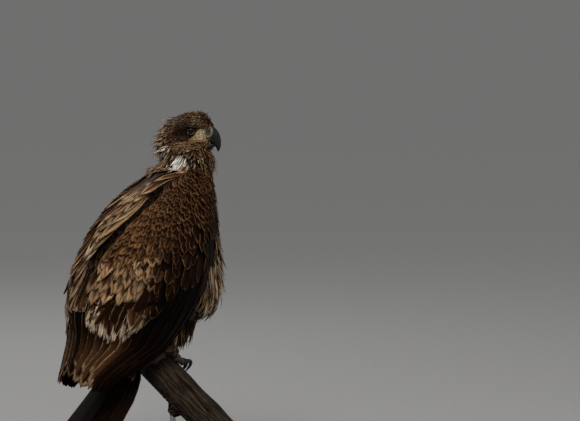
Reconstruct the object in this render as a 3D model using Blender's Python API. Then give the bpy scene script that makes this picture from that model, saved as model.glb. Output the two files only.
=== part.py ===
"""Immature bald eagle perched on a short length of branch: the solids of a still, life-size display model.

The bird faces +X and stands upright, with its head turned to its right (-Y).  The trunk is lofted
through level sections.  Each folded wing is a curved shell on a wider loft, the cloak, and the trunk is
drawn in under it, so that the two nest with a thin gap.  Metres, +Z up; the origin is the centre of the
display base's underside.
"""
import math

import bmesh
import bpy
from mathutils import Matrix, Vector

GAP = 0.0004                   # clearance between pieces that touch
TAU = 2.0 * math.pi

# Trunk sections: height, front of the breast, half width.
BREAST = (
    (0.345, 0.118, 0.074),
    (0.360, 0.150, 0.094),
    (0.378, 0.171, 0.105),
    (0.399, 0.180, 0.111),
    (0.435, 0.186, 0.115),
    (0.491, 0.186, 0.116),
    (0.545, 0.179, 0.116),
    (0.600, 0.172, 0.108),
    (0.645, 0.165, 0.096),
    (0.675, 0.163, 0.084),
    (0.700, 0.160, 0.071),
)
# Cloak sections (outside of the folded wings and the back): height, front, back, half width.
CLOAK = (
    (0.198, -0.163, -0.250, 0.044),
    (0.2036, -0.1395, -0.2545, 0.060),
    (0.238, -0.053, -0.237, 0.090),
    (0.284, 0.016, -0.220, 0.110),
    (0.330, 0.065, -0.207, 0.125),
    (0.399, 0.120, -0.216, 0.145),
    (0.491, 0.1465, -0.1815, 0.150),
    (0.560, 0.151, -0.139, 0.144),
    (0.629, 0.158, -0.073, 0.121),
    (0.675, 0.156, -0.010, 0.092),
    (0.700, 0.152, 0.026, 0.074),
)
# Angles of a wing's front and rear edge round the body, in degrees from straight ahead.
WING_EDGES = (
    (0.198, 40.0, 170.0),
    (0.212, 54.0, 172.0),
    (0.238, 64.0, 173.0),
    (0.250, 58.0, 173.0),
    (0.268, 44.0, 174.0),
    (0.300, 36.0, 174.0),
    (0.366, 35.0, 174.0),
    (0.388, 34.0, 164.0),
    (0.500, 31.0, 153.0),
    (0.590, 32.0, 145.0),
    (0.640, 40.0, 132.0),
    (0.664, 52.0, 118.0),
    (0.684, 66.0, 92.0),
)
# The left wing's front edge lies this much further back, in degrees, where the perch rises past it.
PERCH_CLEARANCE = (
    (0.236, 0.0),
    (0.267, 18.0),
    (0.290, 31.0),
    (0.314, 40.0),
    (0.337, 46.0),
    (0.349, 10.0),
    (0.356, 0.0),
)
# Thickness of the folded wing: height, thickness half way across.
WING_DEPTH = (
    (0.198, 0.004),
    (0.300, 0.009),
    (0.400, 0.018),
    (0.500, 0.026),
    (0.620, 0.028),
    (0.684, 0.012),
)
WING_EDGE_DEPTH = 0.003
WING_TOP = 0.684
WING_TIP = 0.198
WING_ROWS = 22
MANTLE_END = 0.376             # the back's long feathers end here, over the rump
RUMP_BACK = -0.115
COVERT_ROW = 12                # last row of the coverts, and of the secondaries
SECONDARY_ROW = 17
TRUNK_TOP = 0.700
TRUNK_BOTTOM = 0.352
EDGE_STEP = math.radians(1.5)  # how far beside a wing's edge the trunk comes back out

BREAST_COLUMNS = 8
WING_COLUMNS = 11
MANTLE_COLUMNS = 6

# Head: its own frame has x forward along the bill, y to its left and z up.
HEAD_CENTRE = Vector((0.1175, 0.0, 0.783))
HEAD_YAW = math.radians(-58.0)
EYE_PLACE = Vector((0.012, 0.0310, 0.003))
EYE_RADIUS = 0.0105

# Perch: a straight length of driftwood that falls away to the bird's right.
PERCH_PLACE = Vector((0.005, -0.050, 0.230))
PERCH_AXIS = Vector((0.0, -1.0, -0.503)).normalized()
PERCH_UP = Vector((0.0, -0.503, 1.0)).normalized()
PERCH_SIDE = Vector((1.0, 0.0, 0.0))
PERCH_RADIUS = 0.040
PERCH_NEAR = 0.262             # length of perch past the right foot, downhill
PERCH_FAR = 0.158              # and uphill

FOOT_PLACES = {"left": 0.050, "right": -0.040}   # sideways from the bird's middle
TOE_RADIUS = 0.0085
CLAW_RADIUS = 0.0060
CLAW_BULGE = 0.018

BASE_SIZE = Vector((0.340, 0.420, 0.022))
BASE_CORNER = 0.030
BASE_RIM = 0.003
ROD_RADIUS = 0.007
ROD_PLACES = (-0.080, -0.180)  # where the rods stand along Y

BROWN = (0.085, 0.052, 0.033)
PALE_BROWN = (0.19, 0.125, 0.08)
DARK_BROWN = (0.03, 0.02, 0.014)
HORN = (0.03, 0.03, 0.032)
SKIN_YELLOW = (0.45, 0.33, 0.10)
WOOD = (0.20, 0.17, 0.14)


def material(name, colour, roughness, metallic=0.0):
    """A Principled material, made once for each name."""
    found = bpy.data.materials.get(name)
    if found:
        return found
    made = bpy.data.materials.new(name)
    made.use_nodes = True
    shader = made.node_tree.nodes["Principled BSDF"]
    shader.inputs["Base Color"].default_value = (*colour, 1.0)
    shader.inputs["Roughness"].default_value = roughness
    shader.inputs["Metallic"].default_value = metallic
    made.diffuse_color = (*colour, 1.0)
    return made


def blend(stations, height):
    """Values of a table of stations at one height, read in straight lines between the stations."""
    if height <= stations[0][0]:
        return stations[0][1:]
    for low, high in zip(stations, stations[1:]):
        if height <= high[0]:
            part = (height - low[0]) / (high[0] - low[0])
            return tuple(a + (b - a) * part for a, b in zip(low[1:], high[1:]))
    return stations[-1][1:]


def smooth(stations, height, reach=0.012):
    """Blend averaged over a short reach of height, so that stations leave no hard ridge."""
    steps = (-1.0, -0.5, 0.0, 0.5, 1.0)
    samples = [blend(stations, height + reach * step) for step in steps]
    return tuple(sum(values) / len(steps) for values in zip(*samples))


def add_object(name, vertices, faces, look):
    """An object from vertices and faces, closed and with its faces turned out."""
    mesh = bpy.data.meshes.new(name)
    mesh.from_pydata([tuple(v) for v in vertices], [], faces)
    work = bmesh.new()
    work.from_mesh(mesh)
    bmesh.ops.triangulate(work, faces=work.faces[:])
    bmesh.ops.recalc_face_normals(work, faces=work.faces[:])
    work.to_mesh(mesh)
    work.free()
    mesh.materials.append(look)
    mesh.shade_smooth()
    made = bpy.data.objects.new(name, mesh)
    bpy.context.scene.collection.objects.link(made)
    return made


def loft(name, rings, look):
    """A closed solid through rings of equal count, each end closed by a fan to its middle."""
    count = len(rings[0])
    vertices = [point for ring in rings for point in ring]
    faces = []
    for row in range(len(rings) - 1):
        for i in range(count):
            j = (i + 1) % count
            a, b = row * count, (row + 1) * count
            faces.append((a + i, a + j, b + j))
            faces.append((a + i, b + j, b + i))
    for row in (0, len(rings) - 1):
        middle = sum((Vector(p) for p in rings[row]), Vector()) / count
        vertices.append(middle)
        for i in range(count):
            faces.append((row * count + i, row * count + (i + 1) % count, len(vertices) - 1))
    return add_object(name, vertices, faces, look)


def shell(name, outer, inner, look):
    """A closed solid between two grids of points that have the same rows and columns."""
    rows, columns = len(outer), len(outer[0])
    vertices = [p for row in outer for p in row] + [p for row in inner for p in row]
    below = rows * columns
    faces = []
    for r in range(rows - 1):
        for c in range(columns - 1):
            a = r * columns + c
            b, d, e = a + 1, a + columns, a + columns + 1
            faces += [(a, b, e), (a, e, d)]
            faces += [(below + a, below + e, below + b), (below + a, below + d, below + e)]
    rim = [c for c in range(columns)]
    rim += [r * columns + columns - 1 for r in range(1, rows)]
    rim += [(rows - 1) * columns + c for c in range(columns - 2, -1, -1)]
    rim += [r * columns for r in range(rows - 2, 0, -1)]
    for a, b in zip(rim, rim[1:] + rim[:1]):
        faces.append((a, b, below + b, below + a))
    return add_object(name, vertices, faces, look)


def ring(centre, side, up, half_side, half_up, count, power=2.0):
    """Points of a superellipse in the plane of side and up."""
    points = []
    for i in range(count):
        angle = TAU * i / count
        c, s = math.cos(angle), math.sin(angle)
        x = math.copysign(abs(c) ** (2.0 / power), c) * half_side
        y = math.copysign(abs(s) ** (2.0 / power), s) * half_up
        points.append(centre + side * x + up * y)
    return points


def tube(name, path, radii, look, sides=10, side_hint=Vector((0, 0, 1))):
    """A tapered round tube along a path of points."""
    rings = []
    for i, point in enumerate(path):
        before = path[max(i - 1, 0)]
        after = path[min(i + 1, len(path) - 1)]
        along = (after - before).normalized()
        across = along.cross(side_hint).normalized()
        up = across.cross(along).normalized()
        rings.append(ring(point, across, up, radii[i], radii[i], sides))
    return loft(name, rings, look)


def grown(piece, distance):
    """A cutter: a copy of a piece, moved out along its normals."""
    cutter = piece.copy()
    cutter.data = piece.data.copy()
    cutter.name = piece.name + "_cutter"
    normals = [v.normal.copy() for v in cutter.data.vertices]
    for vertex, normal in zip(cutter.data.vertices, normals):
        vertex.co += normal * distance
    cutter.hide_render = True
    cutter.display_type = "WIRE"
    bpy.context.scene.collection.objects.link(cutter)
    return cutter


def apply_boolean(target, other, operation):
    """Bake one exact boolean into the target's mesh."""
    step = target.modifiers.new(operation, "BOOLEAN")
    step.operation = operation
    step.solver = "EXACT"
    step.object = other
    bpy.context.view_layer.update()
    seen = target.evaluated_get(bpy.context.evaluated_depsgraph_get())
    mesh = bpy.data.meshes.new_from_object(seen)
    target.modifiers.clear()
    target.data = mesh


def keep_main_body(target):
    """Remove the small loose bits that a cut can leave."""
    work = bmesh.new()
    work.from_mesh(target.data)
    bmesh.ops.remove_doubles(work, verts=work.verts[:], dist=1e-6)
    groups = []
    left = set(work.verts)
    while left:
        group = {left.pop()}
        edge = list(group)
        while edge:
            vertex = edge.pop()
            near = {e.other_vert(vertex) for e in vertex.link_edges} & left
            left -= near
            group |= near
            edge.extend(near)
        groups.append(group)
    main = max(groups, key=len)
    bmesh.ops.delete(work, geom=[v for v in work.verts if v not in main], context="VERTS")
    bmesh.ops.triangulate(work, faces=work.faces[:])
    work.to_mesh(target.data)
    work.free()


def carve(target, *pieces):
    """Cut pieces out of the target, leaving the clearance."""
    for piece in pieces:
        cutter = grown(piece, GAP)
        apply_boolean(target, cutter, "DIFFERENCE")
        bpy.data.objects.remove(cutter)
    keep_main_body(target)


# ---------------------------------------------------------------- trunk and wings

def cloak_middle(height):
    front, back, _ = smooth(CLOAK, height)
    return 0.5 * (front + back)


def oval(angle, front, back, half):
    """Radius at an angle of an oval whose front and back reach differ."""
    reach = front if math.cos(angle) > 0.0 else back
    return 1.0 / math.hypot(math.cos(angle) / reach, math.sin(angle) / half)


def cloak_radius(angle, height):
    front, back, half = smooth(CLOAK, height)
    middle = 0.5 * (front + back)
    return oval(angle, front - middle, middle - back, half)


def body_radius(angle, height):
    """Radius of the trunk where no wing covers it."""
    front, half = smooth(BREAST, height)
    _, back, cloak_half = smooth(CLOAK, height)
    middle = cloak_middle(height)
    if height < MANTLE_END:
        return oval(angle, front - middle, middle - max(back, RUMP_BACK), half)
    behind = max(0.0, -math.cos(angle))
    wide = half + (cloak_half - half) * min(1.0, 2.0 * behind)
    return oval(angle, front - middle, middle - back, wide)


def wing_edges(height, side="right"):
    front, rear = smooth(WING_EDGES, min(height, WING_TOP))
    if side == "left":
        front += blend(PERCH_CLEARANCE, height)[0]
    return math.radians(front), math.radians(rear)


def wing_depth(part, height):
    """Thickness of the wing at a part (0 to 1) of the way from its front edge to its rear one."""
    middle, = smooth(WING_DEPTH, height)
    return WING_EDGE_DEPTH + (middle - WING_EDGE_DEPTH) * math.sin(math.pi * part) ** 0.6


def spread(first, last, count):
    return [first + (last - first) * i / (count - 1) for i in range(count)]


def cloak_point(angle, height, depth=0.0):
    radius = cloak_radius(angle, height) - depth
    middle = cloak_middle(height)
    return Vector((middle + radius * math.cos(angle), radius * math.sin(angle), height))


def wing_heights():
    return spread(WING_TOP, WING_TIP, WING_ROWS)


def trunk_ring(height, shrink=1.0):
    """One level section of the trunk, drawn in under the wings."""
    front, rear = wing_edges(height)
    middle = cloak_middle(height)
    polar = []
    for angle in spread(EDGE_STEP - front, front - EDGE_STEP, BREAST_COLUMNS):
        polar.append((angle, body_radius(angle, height)))
    for i, angle in enumerate(spread(front, rear, WING_COLUMNS)):
        inside = cloak_radius(angle, height) - wing_depth(i / (WING_COLUMNS - 1), height) - GAP
        free = height > WING_TOP + 0.001
        own = body_radius(angle, height)
        polar.append((angle, own if free else min(own, inside)))
    mirrored = [(TAU - angle, radius) for angle, radius in reversed(polar[BREAST_COLUMNS:])]
    for angle in spread(rear + EDGE_STEP, TAU - rear - EDGE_STEP, MANTLE_COLUMNS):
        polar.append((angle, body_radius(angle, height)))
    polar += mirrored
    return [Vector((middle + shrink * r * math.cos(a), shrink * r * math.sin(a), height)) for a, r in polar]


def build_trunk(look):
    heights = [TRUNK_TOP] + [h for h in wing_heights() if h > TRUNK_BOTTOM + 0.004]
    rings = [trunk_ring(h) for h in heights]
    rings.append(trunk_ring(TRUNK_BOTTOM, 0.80))
    rings.append(trunk_ring(TRUNK_BOTTOM - 0.006, 0.45))
    return loft("trunk", rings, look)


def build_wing(side, look):
    """A folded wing in three pieces: its coverts, its secondaries and its primaries."""
    heights = wing_heights()
    spans = {
        "coverts": (0, COVERT_ROW),
        "secondaries": (COVERT_ROW, SECONDARY_ROW),
        "primaries": (SECONDARY_ROW, WING_ROWS - 1),
    }
    made = []
    for piece, (first, last) in spans.items():
        outer, inner = [], []
        for row in range(first, last + 1):
            height = heights[row]
            if row == first and first > 0:
                height -= GAP
            front, rear = wing_edges(height, side)
            ends = (front, rear) if side == "left" else (-rear, -front)
            angles = spread(*ends, WING_COLUMNS)
            outer.append([cloak_point(a, height) for a in angles])
            depths = [wing_depth(i / (WING_COLUMNS - 1), height) for i in range(WING_COLUMNS)]
            inner.append([cloak_point(a, height, d) for a, d in zip(angles, depths)])
        made.append(shell(f"wing_{side}_{piece}", outer, inner, look))
    return made


# ---------------------------------------------------------------- neck, head and bill

def build_neck(look):
    """The feathered neck, from the trunk's top ring up into the head."""
    base = trunk_ring(TRUNK_TOP)
    centre = sum(base, Vector()) / len(base)
    stations = (
        # height, shift forward, shift to the left, scale of the base ring
        (0.7004, 0.006, -0.004, 0.93),
        (0.712, 0.011, -0.005, 0.90),
        (0.726, 0.014, -0.003, 0.86),
        (0.744, 0.014, 0.005, 0.80),
        (0.758, 0.017, 0.012, 0.67),
        (0.770, 0.022, 0.014, 0.50),
    )
    rings = []
    for height, forward, sideways, scale in stations:
        shift = Vector((centre.x + forward, sideways, height))
        rings.append([shift + (p - centre) * scale for p in base])
    return loft("neck", rings, look)


def head_to_world(piece):
    piece.data.transform(Matrix.Translation(HEAD_CENTRE) @ Matrix.Rotation(HEAD_YAW, 4, "Z"))
    piece.data.update()


def build_head(look):
    """The feathered head, lofted from the nape to the cere."""
    stations = (
        # x, top, bottom, half width
        (-0.0790, -0.018, -0.044, 0.014),
        (-0.0730, -0.002, -0.058, 0.026),
        (-0.0600, 0.016, -0.066, 0.034),
        (-0.0400, 0.032, -0.068, 0.039),
        (-0.0180, 0.0412, -0.063, 0.0405),
        (0.0020, 0.0450, -0.054, 0.0395),
        (0.0200, 0.0470, -0.045, 0.0350),
        (0.0340, 0.0430, -0.041, 0.0290),
        (0.0450, 0.034, -0.039, 0.0225),
        (0.0520, 0.024, -0.0365, 0.0165),
    )
    rings = []
    for x, top, bottom, half in stations:
        centre = Vector((x, 0.0, 0.5 * (top + bottom)))
        height = 0.5 * (top - bottom)
        rings.append(ring(centre, Vector((0, 1, 0)), Vector((0, 0, 1)), half, height, 20, 2.15))
    head = loft("head", rings, look)
    head_to_world(head)
    return head


def build_upper_bill(look):
    """The cere and the hooked upper bill, as sections that tilt round the culmen's curve."""
    stations = (
        # x, z, tilt in degrees, half height, half width
        (0.0380, -0.0055, 0.0, 0.0212, 0.0170),
        (0.0475, -0.0062, 3.0, 0.0208, 0.0155),
        (0.0550, -0.0090, 14.0, 0.0186, 0.0130),
        (0.0610, -0.0150, 34.0, 0.0148, 0.0105),
        (0.0648, -0.0222, 54.0, 0.0110, 0.0084),
        (0.0672, -0.0308, 74.0, 0.0074, 0.0060),
        (0.0680, -0.0390, 90.0, 0.0046, 0.0038),
        (0.0670, -0.0455, 104.0, 0.0012, 0.0012),
    )
    rings = []
    for x, z, tilt, height, half in stations:
        turn = math.radians(tilt)
        up = Vector((math.sin(turn), 0.0, math.cos(turn)))
        rings.append(ring(Vector((x, 0.0, z)), Vector((0, 1, 0)), up, half, height, 14, 2.1))
    bill = loft("bill_upper", rings, look)
    head_to_world(bill)
    return bill


def build_lower_bill(look):
    stations = (
        (0.0280, -0.0310, 0.0090, 0.0135),
        (0.0420, -0.0325, 0.0078, 0.0120),
        (0.0520, -0.0330, 0.0062, 0.0095),
        (0.0590, -0.0325, 0.0042, 0.0062),
        (0.0620, -0.0318, 0.0020, 0.0030),
    )
    rings = []
    for x, z, height, half in stations:
        rings.append(ring(Vector((x, 0.0, z)), Vector((0, 1, 0)), Vector((0, 0, 1)), half, height, 12))
    bill = loft("bill_lower", rings, look)
    head_to_world(bill)
    return bill


def build_eye(side, look):
    sign = 1.0 if side == "left" else -1.0
    centre = Vector((EYE_PLACE.x, sign * EYE_PLACE.y, EYE_PLACE.z))
    rings = []
    for i in range(1, 8):
        angle = math.pi * i / 8
        lift = Vector((0, 0, EYE_RADIUS * math.cos(angle)))
        radius = EYE_RADIUS * math.sin(angle)
        rings.append(ring(centre + lift, Vector((1, 0, 0)), Vector((0, 1, 0)), radius, radius, 12))
    eye = loft("eye_" + side, rings, look)
    head_to_world(eye)
    return eye


# ---------------------------------------------------------------- tail and legs

def build_tail(look):
    """The closed tail: a cambered fan that widens and thins to its tip."""
    stations = (
        # x, y, z, half width, thickness
        (-0.062, 0.000, 0.372, 0.034, 0.030),
        (-0.081, 0.000, 0.318, 0.046, 0.024),
        (-0.090, 0.002, 0.272, 0.061, 0.019),
        (-0.096, 0.006, 0.232, 0.078, 0.015),
        (-0.122, 0.010, 0.190, 0.090, 0.012),
        (-0.156, 0.012, 0.150, 0.099, 0.009),
        (-0.184, 0.014, 0.118, 0.105, 0.006),
        (-0.195, 0.014, 0.104, 0.102, 0.004),
    )
    upper, lower = [], []
    for i, (x, y, z, half, depth) in enumerate(stations):
        before = stations[max(i - 1, 0)]
        after = stations[min(i + 1, len(stations) - 1)]
        along = Vector((after[0] - before[0], 0.0, after[2] - before[2])).normalized()
        back = Vector((along.z, 0.0, -along.x))
        top_row, low_row = [], []
        for part in spread(-1.0, 1.0, 9):
            sag = 0.22 * half * part * part
            thick = depth * (1.0 - 0.55 * part * part)
            rounding = along * (-0.012 * part * part) if i >= len(stations) - 2 else Vector()
            middle = Vector((x, y + part * half, z)) - back * sag + rounding
            top_row.append(middle + back * (0.5 * thick))
            low_row.append(middle - back * (0.5 * thick))
        upper.append(top_row)
        lower.append(low_row)
    return shell("tail", upper, lower, look)


def foot_frame(side):
    """Point of the perch's axis under a foot."""
    return PERCH_PLACE + PERCH_AXIS * ((FOOT_PLACES[side] - PERCH_PLACE.y) / PERCH_AXIS.y)


def on_perch(side, along, angle, lift):
    """A point at an angle round the perch from its top, positive towards the bird's front."""
    turn = PERCH_UP * math.cos(angle) + PERCH_SIDE * math.sin(angle)
    return foot_frame(side) + PERCH_AXIS * along + turn * (PERCH_RADIUS + lift)


def build_thigh(side, look):
    """The loose feathers of a thigh, which hang down to the foot."""
    sign = 1.0 if side == "left" else -1.0
    end = foot_frame(side).z + 0.056
    stations = (
        # share of the way down, x, y, half length, half width
        (0.00, 0.060, 0.050, 0.062, 0.034),
        (0.30, 0.056, 0.047, 0.061, 0.031),
        (0.60, 0.046, 0.045, 0.053, 0.027),
        (0.85, 0.031, 0.045, 0.039, 0.022),
        (1.00, 0.017, 0.046, 0.025, 0.015),
    )
    top = 0.420
    rings = []
    for share, x, y, length, width in stations:
        centre = Vector((x, sign * y, top + (end - top) * share))
        rings.append(ring(centre, Vector((1, 0, 0)), Vector((0, 1, 0)), length, width, 16))
    return loft("thigh_" + side, rings, look)


def build_tarsus(side, look):
    """The bare lower leg, with the pad from which the toes spring."""
    foot = on_perch(side, 0.0, 0.0, 0.010)
    sign = 1.0 if side == "left" else -1.0
    top = Vector((0.006, sign * 0.046, foot.z + 0.026))
    path = [top.lerp(foot, t) for t in (0.0, 0.35, 0.65, 0.85, 1.0)]
    radii = [0.0105, 0.0095, 0.0098, 0.0115, 0.0095]
    return tube("tarsus_" + side, path, radii, look, 12, Vector((1, 0, 0)))


# Toes: name, place along the perch at root and tip, angles round it in degrees, claw's last angle.
TOES = (
    ("inner", -0.0185, -0.036, 10.0, 48.0, 94.0),
    ("middle", 0.0, 0.002, 12.0, 56.0, 104.0),
    ("outer", 0.0180, 0.027, 10.0, 40.0, 76.0),
    ("hallux", 0.0, 0.003, -14.0, -52.0, -104.0),
)


def build_toe(side, toe, skin, horn):
    """One toe wrapped over the perch, and the claw that ends it."""
    name, root, tip, first, last, claw_end = toe
    inward = 1.0 if side == "left" else -1.0
    path, radii = [], []
    for i, part in enumerate(spread(0.0, 1.0, 8)):
        angle = math.radians(first + (last - first) * part)
        radius = TOE_RADIUS * (1.0 - 0.22 * part + 0.06 * math.cos(3.0 * math.pi * part))
        along = -inward * (root + (tip - root) * part)
        path.append(on_perch(side, along, angle, radius + GAP))
        radii.append(radius)
    body = tube(f"toe_{side}_{name}", path, radii, skin, 8, PERCH_AXIS)
    path, radii = [], []
    for part in spread(0.0, 1.0, 7):
        angle = math.radians(last - math.copysign(3.0, last) + (claw_end - last) * part)
        radius = max(0.0006, CLAW_RADIUS * (1.0 - part) ** 0.8)
        lift = 0.0070 + CLAW_BULGE * math.sin(math.pi * min(1.0, part * 1.15)) * (1.0 - 0.35 * part)
        path.append(on_perch(side, -inward * tip, angle, max(lift, radius + GAP)))
        radii.append(radius)
    claw = tube(f"claw_{side}_{name}", path, radii, horn, 6, PERCH_AXIS)
    carve(claw, body)
    return body, claw


# ---------------------------------------------------------------- perch and stand

def build_perch(look):
    rings = []
    for part in spread(-PERCH_FAR, PERCH_NEAR, 11):
        clear = min(1.0, max(0.0, (abs(part - 0.05) - 0.12) / 0.08))
        swell = 1.0 + 0.05 * clear * math.sin(17.0 * part + 1.0)
        radius = PERCH_RADIUS * swell
        rings.append(ring(PERCH_PLACE + PERCH_AXIS * part, PERCH_SIDE, PERCH_UP, radius, radius, 18))
    perch = loft("perch", rings, look)
    knob_root = PERCH_PLACE + PERCH_AXIS * 0.088
    knob_way = (-PERCH_UP - PERCH_SIDE * 0.45).normalized()
    path = [knob_root + knob_way * d for d in (0.020, 0.040, 0.050, 0.056)]
    knob = tube("knob", path, [0.022, 0.019, 0.014, 0.007], look, 12, PERCH_SIDE)
    apply_boolean(perch, knob, "UNION")
    bpy.data.objects.remove(knob)
    keep_main_body(perch)
    return perch


def build_base(look):
    work = bmesh.new()
    bmesh.ops.create_cube(work, size=1.0)
    bmesh.ops.scale(work, vec=BASE_SIZE, verts=work.verts)
    bmesh.ops.translate(work, vec=(0.0, 0.0, 0.5 * BASE_SIZE.z), verts=work.verts)
    upright = [e for e in work.edges if abs(e.verts[0].co.z - e.verts[1].co.z) > 0.5 * BASE_SIZE.z]
    bmesh.ops.bevel(work, geom=upright, offset=BASE_CORNER, segments=6, affect="EDGES", profile=0.5)
    top = [e for e in work.edges if min(v.co.z for v in e.verts) > BASE_SIZE.z - 0.0005]
    rim = [e for e in top if len(e.link_faces) == 2 and any(abs(f.normal.z) < 0.5 for f in e.link_faces)]
    bmesh.ops.bevel(work, geom=rim, offset=BASE_RIM, segments=2, affect="EDGES", profile=0.5)
    bmesh.ops.triangulate(work, faces=work.faces[:])
    mesh = bpy.data.meshes.new("stand_base")
    work.to_mesh(mesh)
    work.free()
    mesh.materials.append(look)
    made = bpy.data.objects.new("stand_base", mesh)
    bpy.context.scene.collection.objects.link(made)
    return made


def build_rods(perch, look):
    for number, place in enumerate(ROD_PLACES, 1):
        foot = Vector((PERCH_PLACE.x, place, BASE_SIZE.z + GAP))
        top = PERCH_PLACE.z + PERCH_AXIS.z * (place - PERCH_PLACE.y) / PERCH_AXIS.y
        path = [foot, Vector((foot.x, place, top))]
        rod = tube(f"stand_rod_{number}", path, [ROD_RADIUS, ROD_RADIUS], look, 12, Vector((1, 0, 0)))
        carve(rod, perch)


def build_bird():
    feathers = material("brown_feathers", BROWN, 0.75)
    wing_look = material("wing_feathers", PALE_BROWN, 0.7)
    tail_look = material("tail_feathers", DARK_BROWN, 0.6)
    horn = material("horn", HORN, 0.35)
    skin = material("yellow_skin", SKIN_YELLOW, 0.55)
    eye_look = material("eye", (0.03, 0.018, 0.01), 0.05)

    trunk = build_trunk(feathers)
    wings = build_wing("left", wing_look) + build_wing("right", wing_look)
    primaries = {"left": wings[2], "right": wings[5]}
    head = build_head(feathers)
    neck = build_neck(feathers)
    carve(neck, head)

    eyes = [build_eye(side, eye_look) for side in ("left", "right")]
    upper = build_upper_bill(horn)
    lower = build_lower_bill(horn)
    carve(upper, head)
    carve(lower, head, upper, neck)
    carve(head, *eyes)

    tail = build_tail(tail_look)
    carve(tail, trunk, *wings)
    for side in ("left", "right"):
        thigh = build_thigh(side, feathers)
        carve(thigh, trunk)
        carve(tail, thigh)
        tarsus = build_tarsus(side, skin)
        carve(tarsus, thigh, trunk)
        for toe in TOES:
            body, claw = build_toe(side, toe, skin, horn)
            carve(body, tarsus)
            carve(thigh, body)
            carve(primaries[side], body, claw)


def main():
    for old in list(bpy.data.objects):
        bpy.data.objects.remove(old)
    build_bird()
    perch = build_perch(material("driftwood", WOOD, 0.9))
    build_base(material("base_paint", (0.02, 0.02, 0.022), 0.4))
    build_rods(perch, material("rod_steel", (0.55, 0.56, 0.58), 0.3, 1.0))


main()
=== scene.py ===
"""Looks of the perched immature bald eagle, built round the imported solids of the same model.

One skin stands for the solids of flesh.  The coat is many thin closed vanes in a few joined meshes, laid
over the outline of those solids: roots sunk under the surface, tips on it.  Most of the body is laid out
on a hull, the outline's distance from an upright axis at each angle and height.
"""
import math

import bmesh
import bpy
import numpy as np
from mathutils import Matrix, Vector
from mathutils.bvhtree import BVHTree


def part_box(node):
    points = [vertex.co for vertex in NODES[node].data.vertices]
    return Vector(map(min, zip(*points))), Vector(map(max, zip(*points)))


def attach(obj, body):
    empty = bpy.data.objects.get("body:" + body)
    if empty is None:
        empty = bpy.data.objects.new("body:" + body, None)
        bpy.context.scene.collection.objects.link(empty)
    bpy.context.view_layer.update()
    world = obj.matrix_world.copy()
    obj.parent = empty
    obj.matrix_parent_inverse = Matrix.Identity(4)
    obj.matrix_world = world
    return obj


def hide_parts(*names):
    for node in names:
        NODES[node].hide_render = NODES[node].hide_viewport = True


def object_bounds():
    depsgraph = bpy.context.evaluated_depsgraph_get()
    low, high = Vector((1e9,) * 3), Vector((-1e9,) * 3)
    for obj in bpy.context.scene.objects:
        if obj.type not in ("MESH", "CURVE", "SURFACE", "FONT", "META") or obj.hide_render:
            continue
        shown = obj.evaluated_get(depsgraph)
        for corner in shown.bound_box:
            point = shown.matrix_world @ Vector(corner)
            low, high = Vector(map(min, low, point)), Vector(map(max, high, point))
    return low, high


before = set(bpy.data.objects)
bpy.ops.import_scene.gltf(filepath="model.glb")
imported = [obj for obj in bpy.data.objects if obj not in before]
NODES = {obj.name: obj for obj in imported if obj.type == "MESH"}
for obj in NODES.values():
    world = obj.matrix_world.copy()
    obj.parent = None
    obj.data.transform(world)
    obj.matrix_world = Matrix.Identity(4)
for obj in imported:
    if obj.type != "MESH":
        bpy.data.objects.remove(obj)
CAD_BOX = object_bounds()
ROOT = "root"
SIDES = {"right": -1.0, "left": 1.0}

# ---------- driving sizes

# The upright axis the body is laid out round: height, place forward.
AXIS = ((0.200, -0.185), (0.300, -0.090), (0.450, -0.030), (0.600, 0.030), (0.700, 0.090), (0.830, 0.110))
COAT_DEPTH = 0.009  # skin below the tips of the body feathers
FACE_DEPTH = 0.0026  # the same on the face
PATCH = 0.003  # size of one vane's place on a bake map
HEAD_LEVEL = 0.73  # what lies higher belongs to the head

EYES = {side: 0.5 * (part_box("eye_" + side)[0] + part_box("eye_" + side)[1]) for side in SIDES}
EYE_FORWARD, EYE_LIFT = 0.012, 0.003  # the eyes' place in the head's own frame
EYE_OPENING = 0.0086  # radius kept free of feathers
HEAD_LEFT = (EYES["left"] - EYES["right"]).normalized()
HEAD_UP = Vector((0, 0, 1))
HEAD_FORWARD = HEAD_LEFT.cross(HEAD_UP)
HEAD_CENTRE = 0.5 * (EYES["left"] + EYES["right"]) - HEAD_FORWARD * EYE_FORWARD - HEAD_UP * EYE_LIFT
HEAD_AXES = np.array([HEAD_FORWARD, HEAD_LEFT, HEAD_UP])

PERCH_RADIUS = 0.040
PERCH_PLACE = Vector((0.005, -0.050, 0.230))
PERCH_AXIS = Vector((0.0, -1.0, -0.503)).normalized()
PERCH_UP = Vector((0.0, -0.503, 1.0)).normalized()
PERCH_SIDE = Vector((1.0, 0.0, 0.0))
FOOT_PLACES = {"left": 0.050, "right": -0.040}


def colour(red, green, blue):
    """A linear colour from everyday 0 to 255 values."""
    values = np.array([red, green, blue], float) / 255.0
    return np.where(values <= 0.04045, values / 12.92, ((values + 0.055) / 1.055) ** 2.4)


BLACKISH = colour(20, 11, 7)
DARK = colour(38, 21, 12)
CHOCOLATE = colour(62, 36, 21)
BROWN = colour(94, 61, 38)
TAWNY = colour(138, 98, 62)
BUFF = colour(180, 145, 106)
CREAM = colour(210, 190, 160)
WHITE = colour(240, 236, 226)


# ---------- small helpers

def steps(count):
    return np.linspace(0.0, 1.0, count)


def full_turn(count):
    return np.linspace(0.0, 2 * math.pi, count + 1)[:-1]


def step(values, low, high):
    """Smooth step from 0 at low to 1 at high."""
    part = np.clip((values - low) / (high - low), 0.0, 1.0)
    return part * part * (3.0 - 2.0 * part)


def blend(first, second, share):
    return first * (1 - share) + second * share


def spot(x, y, middle, size, power=1):
    """A soft round mark, 1 in its middle; power 2 gives it a flat top and a firmer edge."""
    return np.exp(-((((x - middle[0]) / size[0]) ** 2 + ((y - middle[1]) / size[1]) ** 2) ** power))


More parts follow.
